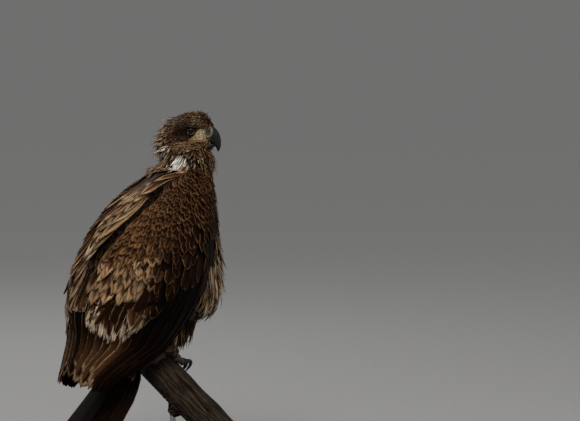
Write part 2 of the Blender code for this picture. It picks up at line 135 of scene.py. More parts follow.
def read(table, places):
    """A table of (place, value) read at places."""
    return np.interp(places, *zip(*table))


def unit(vectors):
    return vectors / np.maximum(np.linalg.norm(vectors, axis=-1, keepdims=True), 1e-12)


def each(value, count):
    """One number for each of count vanes, from one for all or one for each."""
    return np.broadcast_to(np.asarray(value, float), (count,))


def add_to_scene(name, data):
    made = bpy.data.objects.new(name, data)
    bpy.context.scene.collection.objects.link(made)
    return made


def new_piece(name, mesh, look, slot_name, *replaced):
    """A piece that rides on the root, in place of the nodes it replaces; slot_name is not used."""
    mesh.materials.append(look)
    made = add_to_scene(name, mesh)
    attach(made, ROOT)
    if replaced:
        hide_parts(*replaced)
    return made


def joined_copy(names):
    """One mesh that holds copies of several CAD nodes' meshes."""
    work = bmesh.new()
    for name in names:
        work.from_mesh(NODES[name].data)
    mesh = bpy.data.meshes.new("joined")
    work.to_mesh(mesh)
    work.free()
    return mesh


def tree_of(names):
    mesh = joined_copy(names)
    points = [v.co.copy() for v in mesh.vertices]
    return BVHTree.FromPolygons(points, [tuple(p.vertices) for p in mesh.polygons])


def even_skin(names, voxel, smoothing):
    """One even mesh over all the bodies of some CAD nodes."""
    holder = add_to_scene("holder", joined_copy(names))
    modifier = holder.modifiers.new("even", "REMESH")
    modifier.mode = "VOXEL"
    modifier.voxel_size = voxel
    relax = holder.modifiers.new("relax", "SMOOTH")
    relax.factor = 0.5
    relax.iterations = smoothing
    bpy.context.view_layer.update()
    made = bpy.data.meshes.new_from_object(holder.evaluated_get(bpy.context.evaluated_depsgraph_get()))
    bpy.data.objects.remove(holder)
    return made


def coordinates(mesh, field="co"):
    """Places of the vertices, or their normals when field is normal."""
    flat = np.empty(len(mesh.vertices) * 3, np.float32)
    mesh.vertices.foreach_get(field, flat)
    return flat.reshape(-1, 3).astype(float)


def set_coordinates(mesh, points):
    mesh.vertices.foreach_set("co", points.astype(np.float32).ravel())
    mesh.update()


def set_attribute(mesh, name, values):
    """A number, vector or colour for each vertex, by the number of columns in values."""
    columns = 1 if values.ndim == 1 else values.shape[1]
    kind, field = {1: ("FLOAT", "value"), 3: ("FLOAT_VECTOR", "vector"), 4: ("FLOAT_COLOR", "color")}[columns]
    mesh.attributes.new(name, kind, "POINT").data.foreach_set(field, values.astype(np.float32).ravel())


def set_colour(mesh, name, tone, alpha=1.0):
    """A colour for each vertex, from one for all or one for each."""
    values = np.empty((len(mesh.vertices), 4))
    values[:, :3], values[:, 3] = tone, alpha
    set_attribute(mesh, name, values)


def head_local(points):
    """Points in the head's own frame: forward along the bill, to its left, up."""
    return (points - np.array(HEAD_CENTRE)) @ HEAD_AXES.T


def head_world(points):
    return points @ HEAD_AXES + np.array(HEAD_CENTRE)


def head_point(x, y, z):
    return HEAD_CENTRE + HEAD_FORWARD * x + HEAD_LEFT * y + HEAD_UP * z


def eye_reach(local):
    """Distance from the eye's middle, seen from the side."""
    return np.hypot(local[:, 0] - EYE_FORWARD, local[:, 2] - EYE_LIFT)


# ---------- materials

class Nodes:
    """Short ways to add and link shader nodes in one material."""

    def __init__(self, name):
        self.material = bpy.data.materials.new(name)
        self.material.use_nodes = True
        self.tree = self.material.node_tree
        self.shader = self.tree.nodes["Principled BSDF"]

    def put(self, socket, value):
        if isinstance(value, bpy.types.NodeSocket):
            self.tree.links.new(value, socket)
        else:
            socket.default_value = (*value, 1.0) if socket.type == "RGBA" else value

    def add(self, kind, sockets, **settings):
        """A node with its settings, and its input sockets filled by number or name."""
        node = self.tree.nodes.new("ShaderNode" + kind)
        for key, value in settings.items():
            setattr(node, key, value)
        for key, value in sockets.items():
            self.put(node.inputs[key], value)
        return node

    def math(self, operation, a, b=0.0, clamp=False):
        return self.add("Math", {0: a, 1: b}, operation=operation, use_clamp=clamp).outputs[0]

    def times(self, a, b):
        return self.math("MULTIPLY", a, b)

    def plus(self, a, b):
        return self.math("ADD", a, b)

    def minus(self, a, b):
        return self.math("SUBTRACT", a, b)

    def ramp(self, value, low, high, out_low=0.0, out_high=1.0):
        sockets = dict(enumerate((value, low, high, out_low, out_high)))
        return self.add("MapRange", sockets, interpolation_type="SMOOTHSTEP").outputs[0]

    def mix(self, factor, a, b, kind="MIX"):
        return self.add("Mix", {0: factor, 6: a, 7: b}, data_type="RGBA", blend_type=kind).outputs[2]

    def shaded(self, a, b):
        """The two colours multiplied."""
        return self.mix(1.0, a, b, "MULTIPLY")

    def between(self, pattern, low, high, a, b, *outputs):
        """Colour a where the pattern is under low, b where it is over high."""
        return self.mix(self.ramp(pattern, low, high, *outputs), a, b)

    def mottled(self, pattern, low, high, base, shade):
        """The base colour, multiplied with the shade where the pattern is over high."""
        return self.between(pattern, low, high, base, self.shaded(base, shade))

    def attribute(self, name, output="Color"):
        return self.add("Attribute", {}, attribute_name=name).outputs[output]

    def parts(self, name):
        """The three numbers of a vector attribute."""
        return self.add("SeparateXYZ", {0: self.attribute(name, "Vector")}).outputs

    def vector(self, *numbers):
        return self.add("CombineXYZ", dict(enumerate(numbers))).outputs[0]

    def noise(self, vector, scale, detail=3.0, roughness=0.55):
        sockets = {"Vector": vector, "Scale": scale, "Detail": detail, "Roughness": roughness}
        return self.add("TexNoise", sockets).outputs["Fac"]

    def place(self, scale=(1.0, 1.0, 1.0)):
        """Object coordinates, scaled along each axis."""
        place = self.add("TexCoord", {}).outputs["Object"]
        return self.add("Mapping", {"Vector": place, "Scale": scale}).outputs[0]

    def bump(self, height, distance, strength):
        node = self.add("Bump", {"Distance": distance, "Strength": strength, "Height": height})
        self.put(self.shader.inputs["Normal"], node.outputs[0])

    def finish(self, base, roughness, **constants):
        for key, value in {"Base_Color": base, "Roughness": roughness, **constants}.items():
            self.put(self.shader.inputs[key.replace("_", " ")], value)
        return self.material


def feather_material(name, roughness):
    """Vanes: a dark web with a paler rim and tip, fine slanting barbs and a shaft.

    The mesh carries tint (the web's colour), edging (the rim's colour, with its strength as alpha), vane
    (across, along, chance) and marks (rim width, start of the tip band, dark streak)."""
    n = Nodes(name)
    across, along, chance = n.parts("vane")
    rim, band, streak = n.parts("marks")
    side = n.math("ABSOLUTE", across)
    slant = n.minus(n.times(along, 46.0), n.times(side, 9.0))
    barbs = n.noise(n.vector(slant, n.times(across, 1.6), n.times(chance, 71.0)), 1.0, 3.0, 0.65)
    blots = n.noise(n.vector(n.times(across, 1.3), n.times(along, 5.0), n.times(chance, 53.0)), 1.0, 2.0)
    long_place = n.vector(n.times(across, 4.2), n.times(along, 1.4), n.times(chance, 31.0))
    streaks = n.noise(long_place, 1.0, 3.0, 0.6)
    wander = n.times(n.minus(n.plus(barbs, blots), 1.0), 0.24)
    edge_side = n.ramp(n.plus(side, wander), n.minus(1.0, rim), n.minus(1.0, n.times(rim, 0.4)))
    edge_tip = n.ramp(n.plus(along, n.times(wander, 0.5)), band, n.plus(n.times(band, 0.45), 0.55))
    edge = n.math("MAXIMUM", edge_side, edge_tip)
    edge = n.math("MULTIPLY", edge, n.attribute("edging", "Alpha"), clamp=True)
    web = n.attribute("tint")
    dark_web = n.shaded(web, colour(120, 112, 108))
    # Towards the root the web is painted darker: partly the darker down there, partly painted shade under the
    # overlying feathers.
    web = n.between(along, 0.86, 0.42, web, dark_web)
    web = n.mix(n.times(n.ramp(side, 0.42, 0.05), streak), web, dark_web)
    painted = n.mix(edge, web, n.attribute("edging"))
    shade = n.times(n.ramp(barbs, 0.25, 0.75, 0.74, 1.22), n.ramp(streaks, 0.3, 0.7, 0.62, 1.34))
    painted = n.shaded(painted, n.add("CombineColor", {0: shade, 1: shade, 2: shade}).outputs[0])
    shaft = n.ramp(side, 0.075, 0.03)
    painted = n.mix(n.times(shaft, 0.5), painted, dark_web)
    n.bump(n.plus(n.times(barbs, 0.5), shaft), distance=0.0006, strength=0.7)
    return n.finish(painted, roughness, Specular_IOR_Level=0.03)


def skin_material():
    """The skin under the coat, painted from the mesh's own colours, with fine pores."""
    n = Nodes("skin_look")
    place, tint = n.place(), n.attribute("tint")
    flesh = n.between(n.noise(place, scale=90.0), 0.3, 0.7, tint, colour(70, 52, 40), 0.0, 0.5)
    lore = n.mottled(n.noise(place, scale=330.0, detail=4.0), 0.40, 0.62, tint, colour(166, 156, 136))
    n.bump(n.noise(place, scale=900.0, detail=2.0), distance=0.0004, strength=0.6)
    return n.finish(n.mix(n.attribute("bare", "Fac"), flesh, lore), 0.7, Specular_IOR_Level=0.08)


def horn_material():
    """Slate horn: streaked along its growth, glossier where it is worn, and pale where the cere is."""
    n = Nodes("horn_look")
    place, tint = n.place(), n.attribute("tint")
    streaks = n.noise(n.attribute("grain", "Vector"), scale=1.0, detail=4.0)
    fine = n.noise(place, scale=700.0, detail=2.0)
    dark = n.between(streaks, 0.35, 0.7, colour(17, 16, 17), colour(38, 36, 38))
    cere = n.mottled(n.noise(place, scale=420.0, detail=4.0), 0.36, 0.66, tint, colour(176, 166, 150))
    base = n.mix(n.attribute("pale", "Fac"), dark, cere)
    n.bump(n.plus(n.times(streaks, 0.6), n.times(fine, 0.25)), distance=0.0005, strength=0.6)
    return n.finish(base, n.ramp(streaks, 0.3, 0.8, 0.44, 0.60), Specular_IOR_Level=0.25)


def foot_material():
    """Dull yellow scaly skin, painted darker as the shade under the wing, and dark between its scutes."""
    n = Nodes("foot_look")
    place = n.place()
    cells = n.add("TexVoronoi", {"Vector": place, "Scale": 420.0}, feature="DISTANCE_TO_EDGE")
    scutes = n.times(n.ramp(cells.outputs["Distance"], 0.0, 0.12), n.attribute("scute", "Fac"))
    # The yellow is painted darker than the toes' own, as painted shade under the wing.
    yellow = n.between(n.noise(place, scale=120.0), 0.35, 0.7, colour(54, 34, 17), colour(92, 62, 32))
    n.bump(scutes, distance=0.0006, strength=0.8)
    return n.finish(n.mix(scutes, colour(34, 22, 13), yellow), 0.5, Subsurface_Weight=0.05)


def eye_material():
    """A dark brown iris round a black pupil, under a wet clear coat."""
    n = Nodes("eye_look")
    reach, rays = n.attribute("reach", "Fac"), n.noise(n.place(), scale=1400.0)
    iris = n.between(rays, 0.3, 0.7, colour(20, 12, 8), colour(38, 23, 14))
    base = n.between(reach, 0.36, 0.40, (0.002, 0.002, 0.002), iris)
    base = n.between(reach, 0.70, 0.80, base, colour(14, 10, 8))
    return n.finish(base, 0.35, Specular_IOR_Level=0.08, Coat_Weight=0.18, Coat_Roughness=0.03)


def lid_material():
    """Thin wrinkled skin of the lids and the gape."""
    n = Nodes("lid_look")
    wrinkles, tint = n.noise(n.place(), scale=800.0), n.attribute("tint")
    n.bump(wrinkles, distance=0.0004, strength=0.6)
    return n.finish(n.mottled(wrinkles, 0.3, 0.7, tint, colour(150, 146, 140)), 0.5)


def wood_material():
    """Weathered driftwood: long grain along the branch, grey and brown streaks, dark checks."""
    n = Nodes("driftwood_look")
    place = n.place()
    grain = n.noise(n.attribute("grain", "Vector"), scale=1.0, detail=6.0, roughness=0.6)
    fine = n.noise(place, scale=260.0)
    base = n.between(grain, 0.40, 0.62, colour(19, 14, 10), colour(72, 60, 48))
    base = n.between(n.noise(place, scale=16.0, detail=4.0), 0.42, 0.66, base, colour(30, 22, 16), 0.0, 0.70)
    base = n.between(fine, 0.5, 0.8, base, colour(84, 70, 54), 0.0, 0.35)
    base = n.mix(n.attribute("check", "Fac"), base, colour(10, 8, 6))
    n.bump(n.plus(grain, n.times(fine, 0.3)), distance=0.0035, strength=0.8)
    return n.finish(base, 0.88, Specular_IOR_Level=0.1)


def steel_material():
    """Steel with fine drawn lines along the rod."""
    n = Nodes("rod_look")
    lines = n.noise(n.place((900.0, 900.0, 12.0)), scale=1.0, detail=2.0)
    base = n.between(lines, 0.3, 0.7, (0.42, 0.43, 0.45), (0.60, 0.61, 0.63))
    n.bump(lines, distance=0.0002, strength=0.4)
    return n.finish(base, n.ramp(lines, 0.3, 0.7, 0.24, 0.40), Metallic=1.0)


def base_material():
    """Satin black paint over board, with a faint orange-peel surface."""
    n = Nodes("base_look")
    wear = n.noise(n.place(), scale=30.0, detail=4.0)
    base = n.between(wear, 0.4, 0.8, (0.016, 0.016, 0.018), (0.030, 0.029, 0.029))
    n.bump(n.noise(n.place(), scale=420.0, detail=2.0), distance=0.0004, strength=0.35)
    return n.finish(base, n.ramp(wear, 0.3, 0.7, 0.34, 0.48))


# ---------- the hull the coat is laid out on

class Hull:
    """Distance of some nodes' outside from the upright axis, smoothed over a grid of angle and height."""

    LOW, HIGH, RISE, TURN = 0.190, 0.760, 0.004, 2.0  # metres, metres, metres, degrees
    FAR = 0.6  # outside everything

    def __init__(self, names, passes=2):
        tree = tree_of(names)
        self.heights = np.arange(self.LOW, self.HIGH, self.RISE)
        self.angles = np.radians(np.arange(0.0, 360.0, self.TURN))
        radius = np.full((len(self.heights), len(self.angles)), np.nan)
        for i, height in enumerate(self.heights):
            middle = Vector((float(read(AXIS, height)), 0.0, float(height)))
            for j, angle in enumerate(self.angles):
                way = Vector((math.cos(angle), math.sin(angle), 0.0))
                hit = tree.ray_cast(middle + way * self.FAR, -way, self.FAR)[0]
                if hit is not None:
                    radius[i, j] = (hit - middle).length
        for row in radius:
            known = np.flatnonzero(~np.isnan(row))
            if len(known):
                wrapped = np.concatenate([known - len(row), known, known + len(row)])
                row[:] = np.interp(np.arange(len(row)), wrapped, np.tile(row[known], 3))
        known = np.flatnonzero(~np.isnan(radius[:, 0]))
        radius = radius[known[np.abs(known[None, :] - np.arange(len(radius))[:, None]).argmin(1)]]
        for _ in range(passes):
            radius = 0.25 * np.roll(radius, 1, 1) + 0.5 * radius + 0.25 * np.roll(radius, -1, 1)
            padded = np.pad(radius, ((1, 1), (0, 0)), mode="edge")
            radius = 0.25 * padded[:-2] + 0.5 * padded[1:-1] + 0.25 * padded[2:]
        self.radius = radius

    def reach(self, angle, height):
        """Radius at an angle in radians and a height, read between the grid's points."""
        row = np.clip((height - self.LOW) / self.RISE, 0, len(self.heights) - 1.001)
        column = np.mod(np.degrees(angle), 360.0) / self.TURN
        r0, c0 = row.astype(int), column.astype(int) % len(self.angles)
        c1, part = (c0 + 1) % len(self.angles), column - np.floor(column)
        low = blend(self.radius[r0, c0], self.radius[r0, c1], part)
        high = blend(self.radius[r0 + 1, c0], self.radius[r0 + 1, c1], part)
        return blend(low, high, row - r0)

    def reach_at(self, degrees, height):
        return float(self.reach(np.radians([degrees]), np.array([height]))[0])

    def point(self, angle, height):
        radius = self.reach(angle, height)
        forward = read(AXIS, height) + radius * np.cos(angle)
        return np.stack([forward, radius * np.sin(angle), height], axis=-1)

    def outward(self, angle, height):
        """Unit normals of the hull."""
        turn, rise = math.radians(2.5), 0.006
        around = self.point(angle + turn, height) - self.point(angle - turn, height)
        upward = self.point(angle, height + rise) - self.point(angle, height - rise)
        return unit(np.cross(around, upward))


# ---------- vanes

def vane_pattern(rows, columns):
    """Quads of one closed vane: its upper grid, and the lower one that shares the rim."""
    top = np.arange(rows * columns).reshape(rows, columns)
    low = top.copy()
    low[1:-1, 1:-1] = rows * columns + np.arange((rows - 2) * (columns - 2)).reshape(rows - 2, columns - 2)
    up = np.stack([top[:-1, :-1], top[:-1, 1:], top[1:, 1:], top[1:, :-1]], -1).reshape(-1, 4)
    down = np.stack([low[:-1, :-1], low[1:, :-1], low[1:, 1:], low[:-1, 1:]], -1).reshape(-1, 4)
    return np.concatenate([up, down])


def mesh_from_grid(name, points, quads):
    """A mesh of one pattern of quads over each row of points shaped (count, n, 3)."""
    count, per = points.shape[:2]
    faces = (quads[None] + (np.arange(count) * per)[:, None, None]).reshape(-1, 4)
    mesh = bpy.data.meshes.new(name)
    mesh.vertices.add(count * per)
    mesh.vertices.foreach_set("co", points.astype(np.float32).ravel())
    mesh.loops.add(faces.size)
    mesh.loops.foreach_set("vertex_index", faces.astype(np.int32).ravel())
    mesh.polygons.add(len(faces))
    mesh.polygons.foreach_set("loop_start", np.arange(0, faces.size, 4, dtype=np.int32))
    mesh.update(calc_edges=True)
    mesh.shade_smooth()
    return mesh, faces


class Coat:
    """Vanes with the same number of rows and columns, gathered batch by batch into one mesh."""

    def __init__(self, rows, columns, thickness, ragged, tip, seed):
        """tip is the share of a vane's length in which its end is rounded or pointed."""
        self.rows, self.columns = rows, columns
        self.thickness, self.ragged, self.tip = thickness, ragged, tip
        self.chance = np.random.default_rng(seed)
        self.batches = []

    def widths(self, half, root, full, tip):
        """Half widths at each row: a share root at the root, all of half at full, a share tip at the end."""
        s = steps(self.rows)
        profile = (root + (1 - root) * step(s, 0.0, full)) * (1.0 - (1.0 - tip) * step(s, full, 1.0))
        return profile * np.reshape(half, (len(half), -1))

    def either(self, count, share, first, second):
        """By chance, first for a share of count vanes and second for the others."""
        return np.where(self.chance.random((count, 1)) < share, first, second)

    def add(self, centre, outward, half, tint, edging, strength, rim, band, streak, camber, tilt=0.0,
            pointed=1.0, fray=None):
        """centre and outward are (n, rows, 3), half (n, rows) half widths; the rest is for all or each."""
        count = len(centre)
        single = dict(strength=strength, rim=rim, band=band, streak=streak, camber=camber, tilt=tilt,
                      pointed=pointed, fray=self.ragged if fray is None else fray)
        tones = {key: np.broadcast_to(tone, (count, 3)) for key, tone in (("tint", tint), ("edging", edging))}
        self.batches.append(dict(centre=centre, outward=outward, half=half, **tones,
                                 **{key: each(value, count) for key, value in single.items()}))

    def gathered(self, *keys):
        return [np.concatenate([batch[key] for batch in self.batches]) for key in keys]

    def grid(self):
        """Vertex positions, and each vertex's place across and along its vane."""
        centre, outward, half, pointed, fray, camber, tilt = self.gathered(
            "centre", "outward", "half", "pointed", "fray", "camber", "tilt")
        count, rows, columns = len(centre), self.rows, self.columns
        across = np.linspace(-1.0, 1.0, columns)
        bowed = (1.0 - np.sqrt(np.clip(1.0 - across**2 * 0.96, 0, 1)))[None, :]
        slope = np.abs(across)[None, :]
        shape = bowed + (slope - bowed) * pointed[:, None]
        frayed = fray[:, None] * self.chance.random((count, columns)) * (0.3 + slope)
        ends = 1.0 - self.tip * (shape + 2.0 * frayed)
        along = steps(rows)[None, :, None] * ends[:, None, :]
        index = np.clip(along * (rows - 1), 0, rows - 1.0001)
        low = index.astype(int)
        part = index - low
        tangent = unit(np.gradient(centre, axis=1))
        sideways = unit(np.cross(tangent, outward))
        upright = unit(np.cross(sideways, tangent))
        vanes = np.arange(count)[:, None, None]

        def between_rows(values):
            share = part[..., None] if values.ndim == 3 else part
            return blend(values[vanes, low], values[vanes, low + 1], share)

        wide = between_rows(half) * (1.0 - self.ragged * self.chance.random((count, rows, columns)))
        lateral = across[None, None, :] * wide
        bow = -camber[:, None, None] * np.abs(across) ** 2 * wide
        roll = tilt[:, None, None] * lateral
        body = np.tile(1.0 - across**2, (1, rows, 1))
        body[:, [0, -1]] = 0.0
        place, side, up = between_rows(centre), between_rows(sideways), between_rows(upright)
        plain = place + side * lateral[..., None] + up * (bow + roll)[..., None]
        rise = up * (0.5 * self.thickness * body)[..., None]
        spots = np.stack(np.broadcast_arrays(across, steps(rows)[None, :, None], along)[:2], -1)

        def closed(top, under):
            """The upper grid, then the lower one inside the rim that they share."""
            faces = (top, under[:, 1:-1, 1:-1])
            return np.concatenate([face.reshape(count, -1, face.shape[-1]) for face in faces], 1)

        return closed(plain + rise, plain - rise), closed(spots, spots)

    def build(self, name, look, slot_name, unwrap=None, replaced=()):
        """The joined mesh.  unwrap gives each root's place on the bake map; without it vanes get islands."""
        points, spots = self.grid()
        count, per = points.shape[:2]
        mesh, faces = mesh_from_grid(name, points, vane_pattern(self.rows, self.columns))
        chances = np.broadcast_to(self.chance.random(count)[:, None, None], (count, per, 1))
        set_attribute(mesh, "vane", np.concatenate([spots, chances], -1).reshape(-1, 3))
        set_attribute(mesh, "marks", np.repeat(np.stack(self.gathered("rim", "band", "streak"), -1), per, 0))
        tint, *edging = (np.repeat(values, per, 0) for values in self.gathered("tint", "edging", "strength"))
        set_colour(mesh, "tint", tint)
        set_colour(mesh, "edging", *edging)
        if unwrap:
            corner = 0.02 + 0.955 * unwrap(self.gathered("centre")[0][:, 0])
            size = np.full((count, 2), PATCH)
        else:
            corner, size = island_grid(count)
        uv = corner[:, None, :] + size[:, None, :] * np.stack([0.5 + 0.5 * spots[..., 0], spots[..., 1]], -1)
        layer = mesh.uv_layers.new(name="OFBake")
        layer.data.foreach_set("uv", uv.reshape(-1, 2)[faces.ravel()].astype(np.float32).ravel())
        return new_piece(name, mesh, look, slot_name, *replaced)


def island_grid(count):
    """Corners and sizes of equal tall islands that fill the bake map, one for each vane."""
    columns = int(math.ceil(math.sqrt(count * 4.0)))
    cell = np.array([0.96 / columns, 0.96 / int(math.ceil(count / columns))])
    index = np.arange(count)
    corner = 0.02 + np.stack([index % columns, index // columns], -1) * cell
    return corner, np.broadcast_to(cell * 0.86, (count, 2))


def round_unwrap(low, high):
    """Unwrap of the body's own shape: angle round the upright axis, and height."""
    def place(points):
        angle = np.arctan2(points[:, 1], points[:, 0] - read(AXIS, points[:, 2]))
        part = (points[:, 2] - low) / (high - low)
        return np.clip(np.stack([0.5 + angle / (2 * math.pi), part], -1), 0.0, 1.0)
    return place


def on_hull(hull, angles, heights, sink, lift, bend=1.3):
    """Centre lines and normals at given angles and heights, sunk at the root and lifted at the tip."""
    s = steps(angles.shape[1])[None, :]
    outward = hull.outward(angles, heights)
    offset = -each(sink, len(angles))[:, None] * (1.0 - s) ** bend + each(lift, len(angles))[:, None] * s**2
    return hull.point(angles, heights) + outward * offset[..., None], outward


def laid(hull, angle, height, length, slant, rows, sink, lift):
    """Centre lines and normals of vanes laid down a hull from their roots.

    angle is in radians; slant turns a vane from straight down towards a growing angle."""
    s = steps(rows)[None, :]
    reach = hull.reach(angle, height)[:, None]
    angles = angle[:, None] + np.sin(slant)[:, None] * length[:, None] * s / np.maximum(reach, 0.03)
    heights = height[:, None] - np.cos(slant)[:, None] * length[:, None] * s
    return on_hull(hull, angles, heights, sink, lift)


# ---------- wings

# Lines of feather tips on a folded wing: angle from straight ahead in degrees, height.
MEDIAN_TIPS = ((30, 0.545), (45, 0.548), (61, 0.529), (82, 0.492), (95, 0.468), (107, 0.450), (125, 0.421),
               (138, 0.402), (156, 0.407), (168, 0.433), (178, 0.44))
GREATER_TIPS = ((30, 0.478), (45, 0.474), (60, 0.458), (71, 0.445), (84, 0.429), (96, 0.400), (106, 0.369),
                (114, 0.337), (133, 0.317), (141, 0.313), (164, 0.345), (178, 0.36))
WING_TOP_LINE = ((24, 0.56), (32, 0.600), (40, 0.645), (52, 0.668), (66, 0.684), (92, 0.694), (115, 0.694),
                 (138, 0.688), (149, 0.673), (154, 0.646), (158, 0.615), (165.5, 0.586), (169, 0.548),
                 (173, 0.511), (179, 0.478))
FLIGHT_TIPS = ((30, 0.235), (45, 0.212), (68, 0.200), (113, 0.206), (140, 0.216), (169, 0.232), (178, 0.24))
COVERT_SPAN = (27, 178)
FRINGE_SPAN = (112, 178)
LESSER_TOP = 0.25  # height of the last lesser row over the medians

# The foremost flight feather, and how much farther back it lies on the left: height, angle.
LOWER_FRONT = ((0.198, 58.0), (0.238, 62.0), (0.262, 50.0), (0.290, 38.0), (0.330, 35.0), (0.70, 33.0))
LEFT_FRONT = ((0.236, 0), (0.267, 18), (0.290, 31), (0.314, 40), (0.337, 46), (0.349, 10), (0.356, 0))
WING_REAR = 173.0  # angle of the rearmost flight feather

# Gaps of the plumage, as height and angle: over each wing, between the edge of the back's feathers and
# where the wing's own show; and a parting on the back.  Feathers there are sunk and painted dark, as painted
# shade.
BACK_EDGE = ((0.434, 180.0), (0.476, 178.5), (0.509, 173.0), (0.546, 169.0), (0.584, 165.0), (0.613, 158.0),
             (0.644, 154.0), (0.671, 149.0), (0.686, 138.0), (0.692, 115.0), (0.710, 100.0))
WING_EDGE = ((0.350, 178.0), (0.376, 176.0), (0.422, 171.0), (0.455, 167.5), (0.488, 163.5), (0.526, 159.5),
             (0.561, 154.0), (0.594, 146.5), (0.623, 140.0), (0.648, 132.5), (0.667, 125.5), (0.680, 112.0),
             (0.700, 98.0))
PARTING = ((0.623, 203.5), (0.638, 201.0), (0.652, 195.0), (0.665, 187.0), (0.677, 175.0), (0.689, 160.0),
           (0.700, 146.0))

# Looks of the covert rows.  lean is read at 30, 60, 100 and 170 degrees; rear is where the front's colours
# turn into the rear's.  Marks are the strength of the pale edge, its width at the sides, where along the
# vane the tip's band starts, and how frayed the tip is.
LEAN_ANGLES = (30, 60, 100, 170)
LESSER = dict(lean=(-34, -18, 2, 16), lift=0.0045, sink=0.005, uneven=0.18, rear=(100, 150), pointed=0.30,
              dark=CHOCOLATE * 0.50, light=BROWN * 0.60, pale=TAWNY * 0.80, pale_share=0.4,
              edge=TAWNY * 0.95, rear_edge=TAWNY * 1.20,
              front_marks=(0.85, 0.26, 0.86, 0.12), rear_marks=(0.80, 0.36, 0.80, 0.25))
MEDIAN = dict(lean=(-28, -16, 0, 8), lift=0.008, sink=0.006, uneven=0.26, rear=(109, 129), pointed=0.60,
              dark=DARK * 0.9, light=BROWN * 0.95, pale=BUFF * 0.70, pale_share=0.45,
              edge=TAWNY * 1.1, rear_edge=BUFF * 1.3,
              front_marks=(0.95, 0.19, 0.935, 0.10), rear_marks=(0.72, 0.28, 0.70, 0.60))
GREATER = dict(lean=(-14, -8, 0, 2), lift=0.003, sink=0.006, uneven=0.16, rear=(104, 122), pointed=0.40,
               dark=DARK * 0.70, light=BROWN * 0.66, pale=TAWNY * 0.62, pale_share=0.5,
               edge=TAWNY * 0.80, rear_edge=CREAM * 1.15,
               front_marks=(0.95, 0.12, 0.965, 0.12), rear_marks=(0.90, 0.12, 0.84, 0.85))
FRINGE = dict(lean=(-14, -8, 0, 2), lift=0.004, sink=0.003, uneven=0.30, rear=(100, 128), pointed=0.85,
              dark=DARK, light=BROWN * 0.9, pale=TAWNY * 0.9, pale_share=0.5,
              edge=TAWNY, rear_edge=CREAM * 1.1,
              front_marks=(0.5, 0.30, 0.80, 0.50), rear_marks=(1.0, 0.40, 0.40, 0.90))


def row_angles(hull, line, span, spacing, stagger, chance):
    """Angles of a row of tips whose height is line(angle in degrees), evenly spaced along it."""
    fine = np.radians(np.linspace(*span, 200))
    points = hull.point(fine, line(np.degrees(np.abs(fine))))
    run = np.concatenate([[0.0], np.cumsum(np.linalg.norm(np.diff(points, axis=0), axis=1))])
    count = max(2, int(run[-1] / spacing))
    places = (np.arange(count) + 0.5 * stagger + 0.18 * chance.uniform(-1, 1, count)) * run[-1] / count
    return np.interp(places, run, fine)


def add_covert_row(coat, hull, side, table, shift, span, spacing, length, half, stagger, look):
    """One row of coverts with its tips on the table's line, raised by shift."""
    chance, sign = coat.chance, SIDES[side]
    tips = row_angles(hull, lambda d: read(table, d) + shift, span, spacing, stagger, chance)
    degrees = np.degrees(tips)
    height = read(table, degrees) + shift + chance.normal(0, look["uneven"] * spacing, len(tips))
    keep = height < read(WING_TOP_LINE, degrees) + 0.004
    tips, degrees, height = tips[keep], degrees[keep], height[keep]
    count = len(tips)
    if not count:
        return
    size = length * chance.uniform(0.86, 1.14, count)
    lean = np.radians(np.interp(degrees, LEAN_ANGLES, look["lean"]))
    lean += chance.normal(0, 0.14 + 0.08 * step(degrees, 100, 130), count)
    roots = tips - np.sin(lean) * size / hull.reach(sign * tips, height)
    # Coverts past the wing's edge line lie in the dark groove under the back's feathers: sunk, flat and
    # painted near-black as painted shade.
    edge = read(WING_EDGE, height)
    shade = step(degrees, edge - 1.0, edge + 2.0)
    lift = 0.0008 + look["lift"] * chance.random(count) ** 1.5 * (1 - shade)
    centre, outward = laid(hull, sign * roots, height + np.cos(lean) * size, size, sign * lean, coat.rows,
                           look["sink"], lift)
    centre = centre - outward * (0.006 * shade)[:, None, None]
    widths = coat.widths(half * chance.uniform(0.82, 1.16, count), root=0.45, full=0.5, tip=0.92)
    rear = step(degrees, *look["rear"])[:, None]
    light = coat.either(count, look["pale_share"], look["pale"], look["light"])
    tint = blend(look["dark"], light, rear) * chance.uniform(0.55, 1.45, (count, 1))
    tint = tint * (1.0 + 0.02 * chance.normal(size=(count, 3))) * (1 - 0.93 * shade[:, None])
    edging = blend(look["edge"], look["rear_edge"], rear) * chance.uniform(0.65, 1.1, (count, 1))
    front_marks, rear_marks = np.array(look["front_marks"]), np.array(look["rear_marks"])
    strength, rim, band, fray = (front_marks + (rear_marks - front_marks) * rear).T
    strength = np.clip(strength * chance.uniform(0.5, 1.15, count), 0, 1) * (1 - 0.9 * shade)
    coat.add(centre, outward, widths, tint, edging, strength, rim, band, streak=0.8, camber=0.20,
             tilt=chance.normal(-sign * 0.10, 0.08, count), pointed=look["pointed"], fray=fray)


